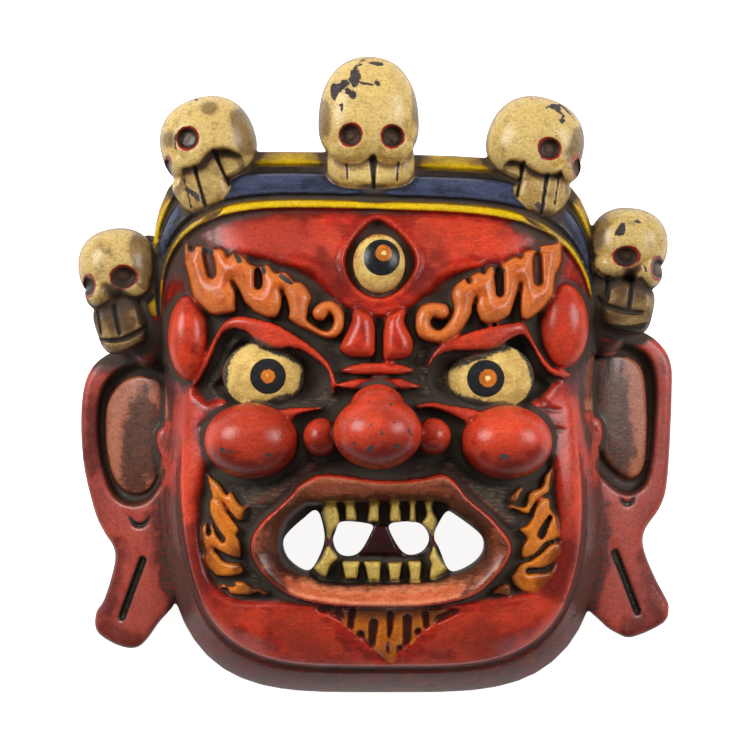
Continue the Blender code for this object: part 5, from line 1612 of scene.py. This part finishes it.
BONE_NICKS = [
    [(-24.7, 181.6, 0.8), (-24.7, 175.2, 0.7)], [(-28.5, 179, 0.7), (-28.5, 176.5, 0.7)],
    [(-8.7, 164.4, 0.5), (-8.1, 156, 0.5)], [(7.9, 198.9, 0.8)], [(-11, 194.4, 0.9), (-7, 194.1, 0.9)],
    [(-122.7, 185, 1.4)], [(-119.7, 187, 0.8)],
    [(-136.6, 162.4, 0.7), (-135.8, 151.6, 0.7), (-133.5, 148.5, 0.6)],
    [(-128.9, 124.6, 1.4), (-122.7, 120, 1.9)], [(-121.2, 116, 1.5)],
    [(122, 181.6, 0.7), (126.9, 176.7, 0.7), (131.8, 170.2, 0.7)], [(100.4, 176.7, 0.8)],
    [(102.5, 185.2, 0.8)], [(96, 182, 0.6)], [(117.9, 159.6, 0.8), (122, 158, 0.8)],
    [(109, 145.8, 1.1)], [(106, 115, 1.8), (107.5, 112, 1.4)], [(168.8, 106.2, 1)],
    [(174.5, 103.5, 1.4), (177.5, 103, 1)], [(188.6, 96.6, 0.7)], [(192, 91.3, 0.7)],
    [(169, 65.8, 1), (172, 66, 0.8)], [(190.3, 80.8, 1)], [(179.3, 73.9, 0.5), (181, 68, 0.5)],
    [(-194.6, 80, 0.7), (-194.6, 77, 0.7)]]
BONE_STAINS = [
    [(-113.5, 178.5, 1)], [(-141, 157.7, 1)], [(-92, 172, 4), (-87, 155, 4)],
    [(-160, 90, 4), (-157, 66, 4)], [(147, 104, 3), (146, 92, 3)],
    [(-186, 13, 3), (-172, 14, 4), (-160, 20, 4)], [(-157, 48, 3), (-154, 36, 3)],
    [(150, 36, 4), (168, 33, 4), (182, 38, 3)], [(29, 190, 3), (28, 172, 3)],
    [(-38, 180, 2), (-38, 165, 3)], [(137, 160, 3), (132, 146, 3)]]
BONE_STAIN_FADE = 7.0
ARCH_FADE = (5.5, 0.5)
ARCH_EDGE = (-0.5, 0.5)
ARCH_SHADE = 0.8
EAR_DUST_ACROSS = (134.0, 150.0)
EAR_DUST_UP = (22.0, 8.0)

jaws = loops_depth(JAW_WINDOWS.values())
sideways = np.abs(x)
bone_stain_and_shade = soft_strokes(BONE_STAINS, BONE_STAIN_FADE)
# Under the arch of the cheekbones each jaw darkens along its upper edge: this is painted shade.
bone_stain_and_shade += ARCH_SHADE * ease(*ARCH_FADE, jaws) * ease(*ARCH_EDGE, jaws)
BONE_DIRT = [
    # amount, the values between which it grows, what it follows
    (0.3, (-0.5, 2.0), jaws), (0.25, (36.0, 60.0), sideways), (0.15, (140.0, 150.0), sideways)]
paint_maps["bone_stain_and_shade"] = bone_stain_and_shade + gathered_darkening(BONE_DIRT)
paint_maps["ear_dust"] = ease(*EAR_DUST_ACROSS, sideways) * ease(*EAR_DUST_UP, y)
paint_maps["chip"] = np.maximum(stroke_depth(x, y, CHIPS + BONE_NICKS), loops_depth(BONE_FLAKES))
print(len(BONE_FLAKES), "flakes and", len(BONE_NICKS), "nicks")


# %% Store the maps on the points
def store_map(piece, name, values):
    """Keep one number for each point, for the material to read."""
    layer = piece.data.attributes.new(name, "FLOAT", "POINT")
    layer.data.foreach_set("value", values.astype(np.float32))


for name, values in paint_maps.items():
    store_map(mask, name, values)
print(len(paint_maps), "maps stored:", ", ".join(paint_maps))

# %% [markdown]
# ## Nodes that several paints share
#
# Every paint on the mask was laid with the same brushes and has aged in the same way, so the
# noises are made once, in one node group. A second group lays a paint into its area with a
# slightly unsteady edge, and a third breaks a plain colour up into the pale, middle and deep
# tones that a hand-mixed paint dries to.

# %% Nodes and node groups
def add_node(tree, kind, **settings):
    """A node with its settings; a name that isn't a setting is one of its sockets."""
    made = tree.nodes.new("ShaderNode" + kind)
    for name, value in settings.items():
        if hasattr(made, name):
            setattr(made, name, value)
        else:
            made.inputs[name.replace("_", " ")].default_value = value
    return made


def new_group(name, inputs, outputs):
    """An empty node group with its sockets: name, kind and, for an input, its usual value."""
    group = bpy.data.node_groups.new(name, "ShaderNodeTree")
    for label, kind, value in inputs:
        socket = group.interface.new_socket(name=label, in_out="INPUT", socket_type="NodeSocket" + kind)
        socket.default_value = value
    for label, kind in outputs:
        group.interface.new_socket(name=label, in_out="OUTPUT", socket_type="NodeSocket" + kind)
    return group, group.nodes.new("NodeGroupInput"), group.nodes.new("NodeGroupOutput")


print("nodes are made by their kinds and settings")


# %% Noises, sums, steps and mixes
def noise(tree, place, scale, detail, roughness=0.55):
    """A noise that is fixed to the wood; the larger the scale, the finer it is."""
    made = add_node(tree, "TexNoise", Scale=scale, Detail=detail, Roughness=roughness)
    tree.links.new(place, made.inputs["Vector"])
    return made.outputs["Fac"]


def math_node(tree, operation, first, second=None):
    """One sum; each side is a number or a socket."""
    made = add_node(tree, "Math", operation=operation)
    for socket, value in zip(made.inputs, (first, second)):
        if isinstance(value, bpy.types.NodeSocket):
            tree.links.new(value, socket)
        elif value is not None:
            socket.default_value = value
    return made.outputs[0]


def ramp(tree, value, low, high, start=0.0, end=1.0):
    """A smooth step: start at low and beyond it, end at high and beyond it."""
    made = add_node(tree, "MapRange", interpolation_type="SMOOTHSTEP")
    tree.links.new(value, made.inputs["Value"])
    made.inputs["From Min"].default_value = low
    made.inputs["From Max"].default_value = high
    made.inputs["To Min"].default_value = start
    made.inputs["To Max"].default_value = end
    return made.outputs["Result"]


COLOUR_SOCKETS = (0, 6, 7)
COLOUR_RESULT = 2


def mix_colours(tree, share, under, over, blend="MIX"):
    """Two colours mixed; each of the three is a value or a socket."""
    made = add_node(tree, "Mix", data_type="RGBA", blend_type=blend)
    for index, value in zip(COLOUR_SOCKETS, (share, under, over)):
        if isinstance(value, bpy.types.NodeSocket):
            tree.links.new(value, made.inputs[index])
        else:
            made.inputs[index].default_value = value
    return made.outputs[COLOUR_RESULT]


print("node helpers are ready")

# %% A tray of noises
NOISES = {
    # name: scale, detail, roughness
    "Broad": (22.0, 3.0, 0.55),
    "Blotch": (110.0, 5.0, 0.55),
    "Fine": (520.0, 4.0, 0.6),
    "Speck": (900.0, 2.0, 0.5)}
BRISTLE_NOISE = (700.0, 3.0, 0.55)
BRUSH_TURN = (0.0, 0.0, 0.25)
BRUSH_STRETCH = (0.16, 1.0, 1.0)

tray, _, tray_out = new_group("old_paint_noises", [], [
    ("Broad", "Float"), ("Blotch", "Float"), ("Fine", "Float"), ("Bristle", "Float"),
    ("Speck", "Float")])
place = add_node(tray, "TexCoord").outputs["Object"]
for name, settings in NOISES.items():
    tray.links.new(noise(tray, place, *settings), tray_out.inputs[name])
stretched = add_node(tray, "Mapping", Rotation=BRUSH_TURN, Scale=BRUSH_STRETCH)
tray.links.new(place, stretched.inputs["Vector"])
bristles = noise(tray, stretched.outputs["Vector"], *BRISTLE_NOISE)
tray.links.new(bristles, tray_out.inputs["Bristle"])
print("the tray holds", len(tray.interface.items_tree), "noises")

# %% Lay a paint into its area
GREY = (0.5, 0.5, 0.5, 1.0)

area, area_in, area_out = new_group("painted_area", [
    ("Under", "Color", GREY), ("Paint", "Color", GREY), ("Depth", "Float", 0.0),
    ("Unsteady", "Float", 0.0), ("Softness", "Float", 0.3), ("Cover", "Float", 1.0)],
    [("Color", "Color"), ("Area", "Float")])
shaky = math_node(area, "ADD", area_in.outputs["Depth"], area_in.outputs["Unsteady"])
spread = math_node(area, "DIVIDE", shaky, area_in.outputs["Softness"])
laid_on = math_node(area, "MULTIPLY", ramp(area, spread, -1.0, 1.0), area_in.outputs["Cover"])
laid = mix_colours(area, laid_on, area_in.outputs["Under"], area_in.outputs["Paint"])
area.links.new(laid, area_out.inputs["Color"])
area.links.new(laid_on, area_out.inputs["Area"])
print("painted_area has", len(area.nodes), "nodes")

# %% Break a colour into tones
DEEP_AMOUNT = 0.65
PALE_AMOUNT = 0.4
DEEP_BLOTCHES = (0.62, 0.38)
PALE_BRISTLES = (0.5, 0.72)

# Its last input pales the paint where it is worn and where highlights are painted.
tones, tones_in, tones_out = new_group("hand_mixed_paint", [
    ("Middle", "Color", GREY), ("Deep", "Color", GREY), ("Pale", "Color", GREY),
    ("Blotch", "Float", 0.5), ("Bristle", "Float", 0.5), ("Worn and highlit", "Float", 0.0)],
    [("Color", "Color")])
deep_share = ramp(tones, tones_in.outputs["Blotch"], *DEEP_BLOTCHES, end=DEEP_AMOUNT)
toned = mix_colours(tones, deep_share, tones_in.outputs["Middle"], tones_in.outputs["Deep"])
bristled = ramp(tones, tones_in.outputs["Bristle"], *PALE_BRISTLES)
bristled = math_node(tones, "MULTIPLY", bristled, PALE_AMOUNT)
pale_share = math_node(tones, "ADD", bristled, tones_in.outputs["Worn and highlit"])
pale_share.node.use_clamp = True
toned = mix_colours(tones, pale_share, toned, tones_in.outputs["Pale"])
tones.links.new(toned, tones_out.inputs["Color"])
print("hand_mixed_paint has", len(tones.nodes), "nodes")

# %% [markdown]
# ## One material for all the paints
#
# All the paints sit on one skin of wood, so they are one material: red lacquer first, then each
# colour over it in the order a painter would work, then the dark wash and painted shade, the chips
# and last the bare wood of the back. Separate materials would need seams in the wood that aren't there.

# %% Mix the paints
def shade(red, green, blue):
    """A colour named in everyday 0-255 numbers, as the renderer's light values."""
    return tuple(((part / 255 + 0.055) / 1.055) ** 2.4 for part in (red, green, blue)) + (1.0,)


PAINTS = {
    # name: middle, deep, pale
    "red": ((190, 36, 14), (104, 20, 12), (220, 78, 46)),
    "recess": ((70, 63, 51), (46, 39, 32), (108, 99, 80)),
    "lip": ((210, 108, 70), (170, 78, 46), (232, 148, 108)),
    "lip_brown": ((84, 44, 28), (40, 24, 18), (128, 66, 42)),
    "mouth": ((44, 32, 26), (24, 17, 14), (80, 62, 50)),
    "tooth": ((196, 162, 62), (112, 82, 34), (228, 204, 116)),
    "tongue": ((52, 14, 14), (26, 8, 8), (84, 22, 20)),
    "blood": ((96, 24, 20), (60, 12, 12), (150, 60, 50)),
    "eye": ((226, 194, 112), (184, 140, 66), (242, 220, 152)),
    "bone": ((206, 170, 88), (150, 112, 52), (230, 206, 136)),
    "bone_dirt_and_shade": ((124, 96, 62), (74, 54, 36), (160, 132, 92)),
    "iris": ((26, 28, 30), (14, 14, 16), (40, 44, 46)),
    "glint": ((206, 112, 24), (150, 84, 14), (220, 140, 50)),
    "spark": ((246, 216, 140), (240, 200, 110), (252, 236, 190)),
    "orange": ((202, 94, 26), (150, 60, 16), (218, 128, 64)),
    "beard": ((212, 106, 8), (136, 62, 10), (224, 138, 40)),
    "beard_root": ((92, 44, 22), (52, 26, 18), (140, 70, 30)),
    "yellow": ((212, 172, 0), (160, 126, 2), (226, 190, 20)),
    "blue": ((44, 50, 72), (30, 32, 38), (74, 84, 114)),
    "groove": ((54, 47, 38), (30, 26, 22), (92, 82, 64)),
    "shell": ((158, 88, 62), (96, 56, 38), (196, 124, 94)),
    "socket": ((104, 80, 60), (58, 42, 32), (140, 112, 84)),
    "rim": ((160, 36, 34), (96, 22, 22), (200, 84, 74)),
    "chip": ((66, 58, 56), (40, 34, 34), (96, 88, 84)),
    "bare": ((134, 98, 64), (98, 68, 44), (164, 128, 90))}
print(len(PAINTS), "paints are mixed")

# %% [markdown]
# ## Brushes
#
# The helpers below do what the painter's hand does. An edge is never quite steady, a paint
# dries to three tones, and a stain gathers where a map and the blotches are both high.

# %% Start the material
painted = bpy.data.materials.new("painted_wood")
painted.use_nodes = True
tree = painted.node_tree
shader = tree.nodes["Principled BSDF"]
noises = add_node(tree, "Group", node_tree=tray).outputs


def read_map(name):
    """One of the maps stored on the points."""
    return add_node(tree, "Attribute", attribute_name=name).outputs["Fac"]


def plus(first, *others):
    """A sum of sockets and numbers."""
    for other in others:
        first = math_node(tree, "ADD", first, other)
    return first


def less(value, amount):
    """A difference of sockets and numbers."""
    return math_node(tree, "SUBTRACT", value, amount)


def times(value, factor):
    """A product of sockets and numbers."""
    return math_node(tree, "MULTIPLY", value, factor)


def around_zero(noise_name, reach):
    """A noise that wanders about zero."""
    return times(less(noises[noise_name], 0.5), reach)


def wobble(fine, blotch):
    """An unsteady hand: millimetres that wander about zero."""
    return plus(around_zero("Fine", fine), around_zero("Blotch", blotch))


print("the material reads", len(noises), "noises")


# %% Brushes
def set_or_link(made, values):
    """Give each named socket its number or its link, and leave it alone for None."""
    for label, value in values.items():
        if isinstance(value, bpy.types.NodeSocket):
            tree.links.new(value, made.inputs[label])
        elif value is not None:
            made.inputs[label].default_value = value


def mixed_paint(name, worn_and_highlit=None):
    """One of the paints, broken into its tones."""
    made = add_node(tree, "Group", node_tree=tones)
    middle, deep, pale = [shade(*tone) for tone in PAINTS[name]]
    set_or_link(made, {"Middle": middle, "Deep": deep, "Pale": pale, "Blotch": noises["Blotch"],
                       "Bristle": noises["Bristle"], "Worn and highlit": worn_and_highlit})
    return made.outputs["Color"]


def lay(under, paint, depth, unsteady=None, softness=0.3, cover=1.0):
    """Lay a paint over what is there; gives the new colour and the area it covers."""
    made = add_node(tree, "Group", node_tree=area)
    set_or_link(made, {"Under": under, "Paint": paint, "Depth": depth, "Unsteady": unsteady,
                       "Softness": softness, "Cover": cover})
    return made.outputs["Color"], made.outputs["Area"]


def tint(colour, share, over, blend="MIX"):
    """The colour with another over it, by a share from 0 to 1."""
    return mix_colours(tree, share, colour, over, blend)


STAIN_BLOTCHES = 1.6
STAIN_BRISTLES = 0.9


def stain(under, paint, amount, low, high, most):
    """A glaze that gathers where a map and the blotches are both high."""
    gathered = plus(amount, around_zero("Blotch", STAIN_BLOTCHES))
    gathered = plus(gathered, around_zero("Bristle", STAIN_BRISTLES))
    return tint(under, ramp(tree, gathered, low, high, end=most), paint)


def coat(colour, paint_name, map_name, unsteady=None, softness=0.3, cover=1.0, worn_and_highlit=None):
    """The colour with one plain paint laid into the shape of one map."""
    paint = mixed_paint(paint_name, worn_and_highlit)
    return lay(colour, paint, read_map(map_name), unsteady, softness, cover)[0]


RUB_AND_HIGHLIGHT_AMOUNT = 0.35

edge = wobble(fine=1.0, blotch=0.6)
ragged = wobble(fine=3.0, blotch=4.0)
# Ridges and rubbed places take the pale tone: partly worn paint, partly painted highlight.
ridge_wear_and_highlight = ramp(tree, read_map("crease"), low=-0.35, high=-1.6, end=0.45)
worn_and_highlit = plus(ridge_wear_and_highlight, times(read_map("rub_and_highlight"), RUB_AND_HIGHLIGHT_AMOUNT))
print("the brushes have made", len(tree.nodes), "nodes")

# %% [markdown]
# ## Red lacquer and the olive ground
#
# The whole front is lacquered red, in broad darker and lighter patches. The sunken ground of
# the face is olive brown over it, and the ears are duller because dust stays on them.

# %% Red lacquer and the olive ground
DARK_RED = shade(122, 34, 26)
OLIVE = shade(104, 96, 78)
DUSTY_RED = shade(146, 74, 64)
DUSTINESS = 0.55

broad = ramp(tree, noises["Broad"], low=0.42, high=0.62, end=0.45)
colour = tint(mixed_paint("red", worn_and_highlit), broad, DARK_RED)
colour = tint(colour, times(read_map("ear_dust"), DUSTINESS), DUSTY_RED)
brushed = ramp(tree, noises["Bristle"], low=0.46, high=0.64, end=0.6)
olive = tint(mixed_paint("recess"), brushed, OLIVE)
colour, dull = lay(colour, olive, read_map("recess"), ragged, softness=2.4)
print("the ground takes", len(tree.nodes), "nodes")

# %% [markdown]
# ## Mouth, eyes, brows and beard
#
# The features are painted in the order in which they overlap: lips before the dark of the
# mouth, the tongue and the teeth, and the white of an eye before its iris. The gold of the
# teeth is half rubbed away, so it is laid as a stained paint.

# %% Mouth, eyes, brows and beard
LIP_INSET = 1.2

lips = stain(mixed_paint("lip", worn_and_highlit), mixed_paint("lip_brown"), read_map("lip_darkening"),
             low=0.25, high=0.95, most=0.95)
colour, _ = lay(colour, lips, less(read_map("lip"), LIP_INSET), edge, softness=0.6)
colour = coat(colour, "mouth", "mouth", ragged, softness=1.2)
colour = coat(colour, "tongue", "tongue", edge, softness=0.8)
colour = coat(colour, "blood", "mouth_blood", edge, softness=0.8)
gold = stain(mixed_paint("tooth", worn_and_highlit), mixed_paint("mouth"), 0.0, low=0.16, high=0.5, most=0.75)
colour, _ = lay(colour, gold, read_map("tooth"), edge, softness=0.5)
worn_edge = wobble(fine=4.0, blotch=5.0)
colour = coat(colour, "eye", "eye_white", worn_edge, softness=0.9)
colour = coat(colour, "iris", "iris")
colour = coat(colour, "glint", "glint", edge, softness=0.4)
colour = coat(colour, "spark", "spark", edge, softness=0.4)
colour = coat(colour, "orange", "brow", edge, worn_and_highlit=worn_and_highlit)
beards = stain(mixed_paint("beard", worn_and_highlit), mixed_paint("beard_root"), read_map("beard_stain"),
               low=0.15, high=1.0, most=0.9)
colour, _ = lay(colour, beards, read_map("beard"), edge, softness=0.5)
print("the features take it to", len(tree.nodes), "nodes")

# %% [markdown]
# ## Band, ears and skulls
#
# The band is painted dark first, so that its two grooves stay dark between the stripes. The
# skulls are bone white with brown flecks, their sockets ringed in red before they are filled.

# %% The stripes of the band
STRIPES = [
    # paint, and the shares of the band's width where it starts and ends
    ("yellow", -0.05, 0.205), ("blue", 0.265, 0.70), ("yellow", 0.775, 1.3)]
BAND_WIDTH = 38.0

band, share = read_map("band"), read_map("band_share")
colour, _ = lay(colour, mixed_paint("groove"), band, edge, softness=0.6)
for name, start, end in STRIPES:
    within = math_node(tree, "MINIMUM", less(share, start), less(end, share))
    stripe = math_node(tree, "MINIMUM", times(within, BAND_WIDTH), band)
    colour, _ = lay(colour, mixed_paint(name, worn_and_highlit), stripe, edge, softness=0.4)
print(len(STRIPES), "stripes")

# %% Ears and skulls
BONE_SPREAD = 1.4
BONE_FLECK = shade(128, 98, 60)
SOCKET_RING = 1.1
SOCKET_INSET = 0.3

colour = coat(colour, "groove", "ear_bowl", edge, softness=1.0, cover=0.8)
shell = stain(mixed_paint("shell", worn_and_highlit), mixed_paint("lip_brown"), read_map("shell_stain"),
              low=0.1, high=0.7, most=0.95)
colour, _ = lay(colour, shell, read_map("ear_shell"), edge, softness=1.0)
colour = coat(colour, "groove", "ear_cut", edge, softness=0.8)
colour = coat(colour, "groove", "below_chin", edge, softness=1.0)
flecks = ramp(tree, noises["Speck"], low=0.58, high=0.68, end=0.4)
# The brown glaze on the bones is stains, with painted shade under the arches of the cheekbones.
bone = stain(tint(mixed_paint("bone", worn_and_highlit), flecks, BONE_FLECK), mixed_paint("bone_dirt_and_shade"),
             read_map("bone_stain_and_shade"), low=0.15, high=0.95, most=0.85)
colour, _ = lay(colour, bone, plus(read_map("bone"), BONE_SPREAD), edge, softness=0.5)
socket = read_map("skull_socket")
uneven_ring = wobble(fine=2.4, blotch=3.0)
colour, _ = lay(colour, mixed_paint("rim"), plus(socket, SOCKET_RING), uneven_ring, softness=0.4)
colour, _ = lay(colour, mixed_paint("socket"), less(socket, SOCKET_INSET), edge, softness=0.4)
colour = coat(colour, "groove", "skull_groove", edge, softness=0.5)
print("ears and skulls take it to", len(tree.nodes), "nodes")

# %% [markdown]
# ## Age and painted shade
#
# Age comes over all the paints alike. Fine grain, and painted shade with some dirt, darken them
# by multiplying, which keeps their hue; so does grime that is partly painted shade. The dark wash
# covers instead: it lies in creases, in wide hollows and on steep walls, and is partly the mask's
# own dark wash and partly painted shade. The rim of the chin and the lowest part of the sides are
# worn to brown, chips show the dark priming, and the wood was never painted behind.

# %% Painted shade with some dirt, and the dark wash with painted shade
GRAIN_TINT = shade(160, 120, 104)
SHADE_AND_DIRT_TINT = shade(122, 82, 74)
GRIME_AND_SHADE_TINT = shade(128, 92, 86)
WASH_AND_SHADE_BROWN = shade(60, 51, 42)
WASH_AND_SHADE_SOURCES = (("crease", 0.55), ("hollow", 0.16), ("steep", 0.75), ("wash_and_shadow", 2.0))
WASH_AND_SHADE_UNEVENNESS = 0.35

grain = ramp(tree, noises["Fine"], low=0.34, high=0.6, start=0.3, end=0.0)
colour = tint(colour, grain, GRAIN_TINT, "MULTIPLY")
# Painted shade from the shade strokes, with some dirt, multiplies the colour darker.
shade_and_dirt = plus(read_map("shade"), wobble(fine=1.0, blotch=2.4))
colour = tint(colour, ramp(tree, shade_and_dirt, low=0.2, high=1.1, end=0.75), SHADE_AND_DIRT_TINT, "MULTIPLY")
# The wash gathers from creases, hollows, steep walls and strokes: partly the mask's own dark wash and
# partly painted shade, and on steep walls only painted shade.
gathered = plus(*[times(read_map(name), weight) for name, weight in WASH_AND_SHADE_SOURCES],
                times(wobble(fine=1.4, blotch=3.4), WASH_AND_SHADE_UNEVENNESS))
grime_and_shade = ramp(tree, gathered, low=-0.3, high=1.2, end=0.8)
colour = tint(colour, grime_and_shade, GRIME_AND_SHADE_TINT, "MULTIPLY")
wash_and_shade = ramp(tree, gathered, low=0.5, high=2.2, end=0.88)
colour = tint(colour, wash_and_shade, WASH_AND_SHADE_BROWN)
print("the wash takes it to", len(tree.nodes), "nodes")

# %% Worn rims, specks, chips and bare wood
RIM_BROWN = shade(60, 40, 32)
RIM_RED = shade(104, 36, 26)
SPECK_BROWN = shade(60, 40, 34)
SPECK_AMOUNT = 0.5

rim_dirt = ramp(tree, plus(read_map("chin_rim"), wobble(fine=2.0, blotch=9.0)), low=-2.5, high=2.5)
rim_dirt = times(rim_dirt, ramp(tree, noises["Blotch"], low=0.35, high=0.6, start=0.7, end=0.95))
rim_streaks = ramp(tree, noises["Bristle"], low=0.42, high=0.6)
rim_brown = mix_colours(tree, rim_streaks, RIM_BROWN, RIM_RED)
colour = tint(colour, rim_dirt, rim_brown)
low_edge = wobble(fine=4.0, blotch=14.0)
colour = coat(colour, "mouth", "back_edge", low_edge, softness=3.0, cover=0.9)
specks = ramp(tree, noises["Speck"], low=0.68, high=0.74)
colour = tint(colour, times(specks, SPECK_AMOUNT), SPECK_BROWN)
jagged = wobble(fine=2.2, blotch=2.0)
colour, chipped = lay(colour, mixed_paint("chip"), read_map("chip"), jagged, softness=0.25)
colour, bare = lay(colour, mixed_paint("bare"), read_map("bare_wood"), edge, softness=1.0)
print("wear takes it to", len(tree.nodes), "nodes")

# %% [markdown]
# ## Gloss and grain
#
# The masks that laid the paints also drive the gloss, because lacquer shines, and the olive
# ground, the wash, the chips and bare wood don't. The brush marks are too fine to carve, so
# they are a bump, and a chip is a paint's thickness lower.

# %% Gloss and grain
LACQUER = 0.3
MATTE = 0.85
GLOSS_UNEVENNESS = 0.25
SPECULAR = 0.38
BUMP_STRENGTH = 0.5
BUMP_HEIGHT = 0.0006
FINE_RELIEF = 0.35
BLOTCH_RELIEF = 0.6
CHIP_RELIEF = 0.5

matte = math_node(tree, "MAXIMUM", math_node(tree, "MAXIMUM", wash_and_shade, dull),
                  math_node(tree, "MAXIMUM", chipped, bare))
rough = ramp(tree, matte, low=0.0, high=1.0, start=LACQUER, end=MATTE)
rough = plus(rough, around_zero("Fine", GLOSS_UNEVENNESS))
height = plus(times(noises["Fine"], FINE_RELIEF), times(noises["Blotch"], BLOTCH_RELIEF))
height = less(height, times(chipped, CHIP_RELIEF))
bump = add_node(tree, "Bump", Strength=BUMP_STRENGTH, Distance=BUMP_HEIGHT)
tree.links.new(height, bump.inputs["Height"])

shader.inputs["Specular IOR Level"].default_value = SPECULAR
tree.links.new(colour, shader.inputs["Base Color"])
tree.links.new(rough, shader.inputs["Roughness"])
tree.links.new(bump.outputs["Normal"], shader.inputs["Normal"])
mask.data.materials.clear()
mask.data.materials.append(painted)
print("painted_wood has", len(tree.nodes), "nodes and", len(PAINTS), "paints")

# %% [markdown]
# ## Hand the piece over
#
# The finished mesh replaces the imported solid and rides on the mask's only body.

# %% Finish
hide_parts("mask")
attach(mask, "root")
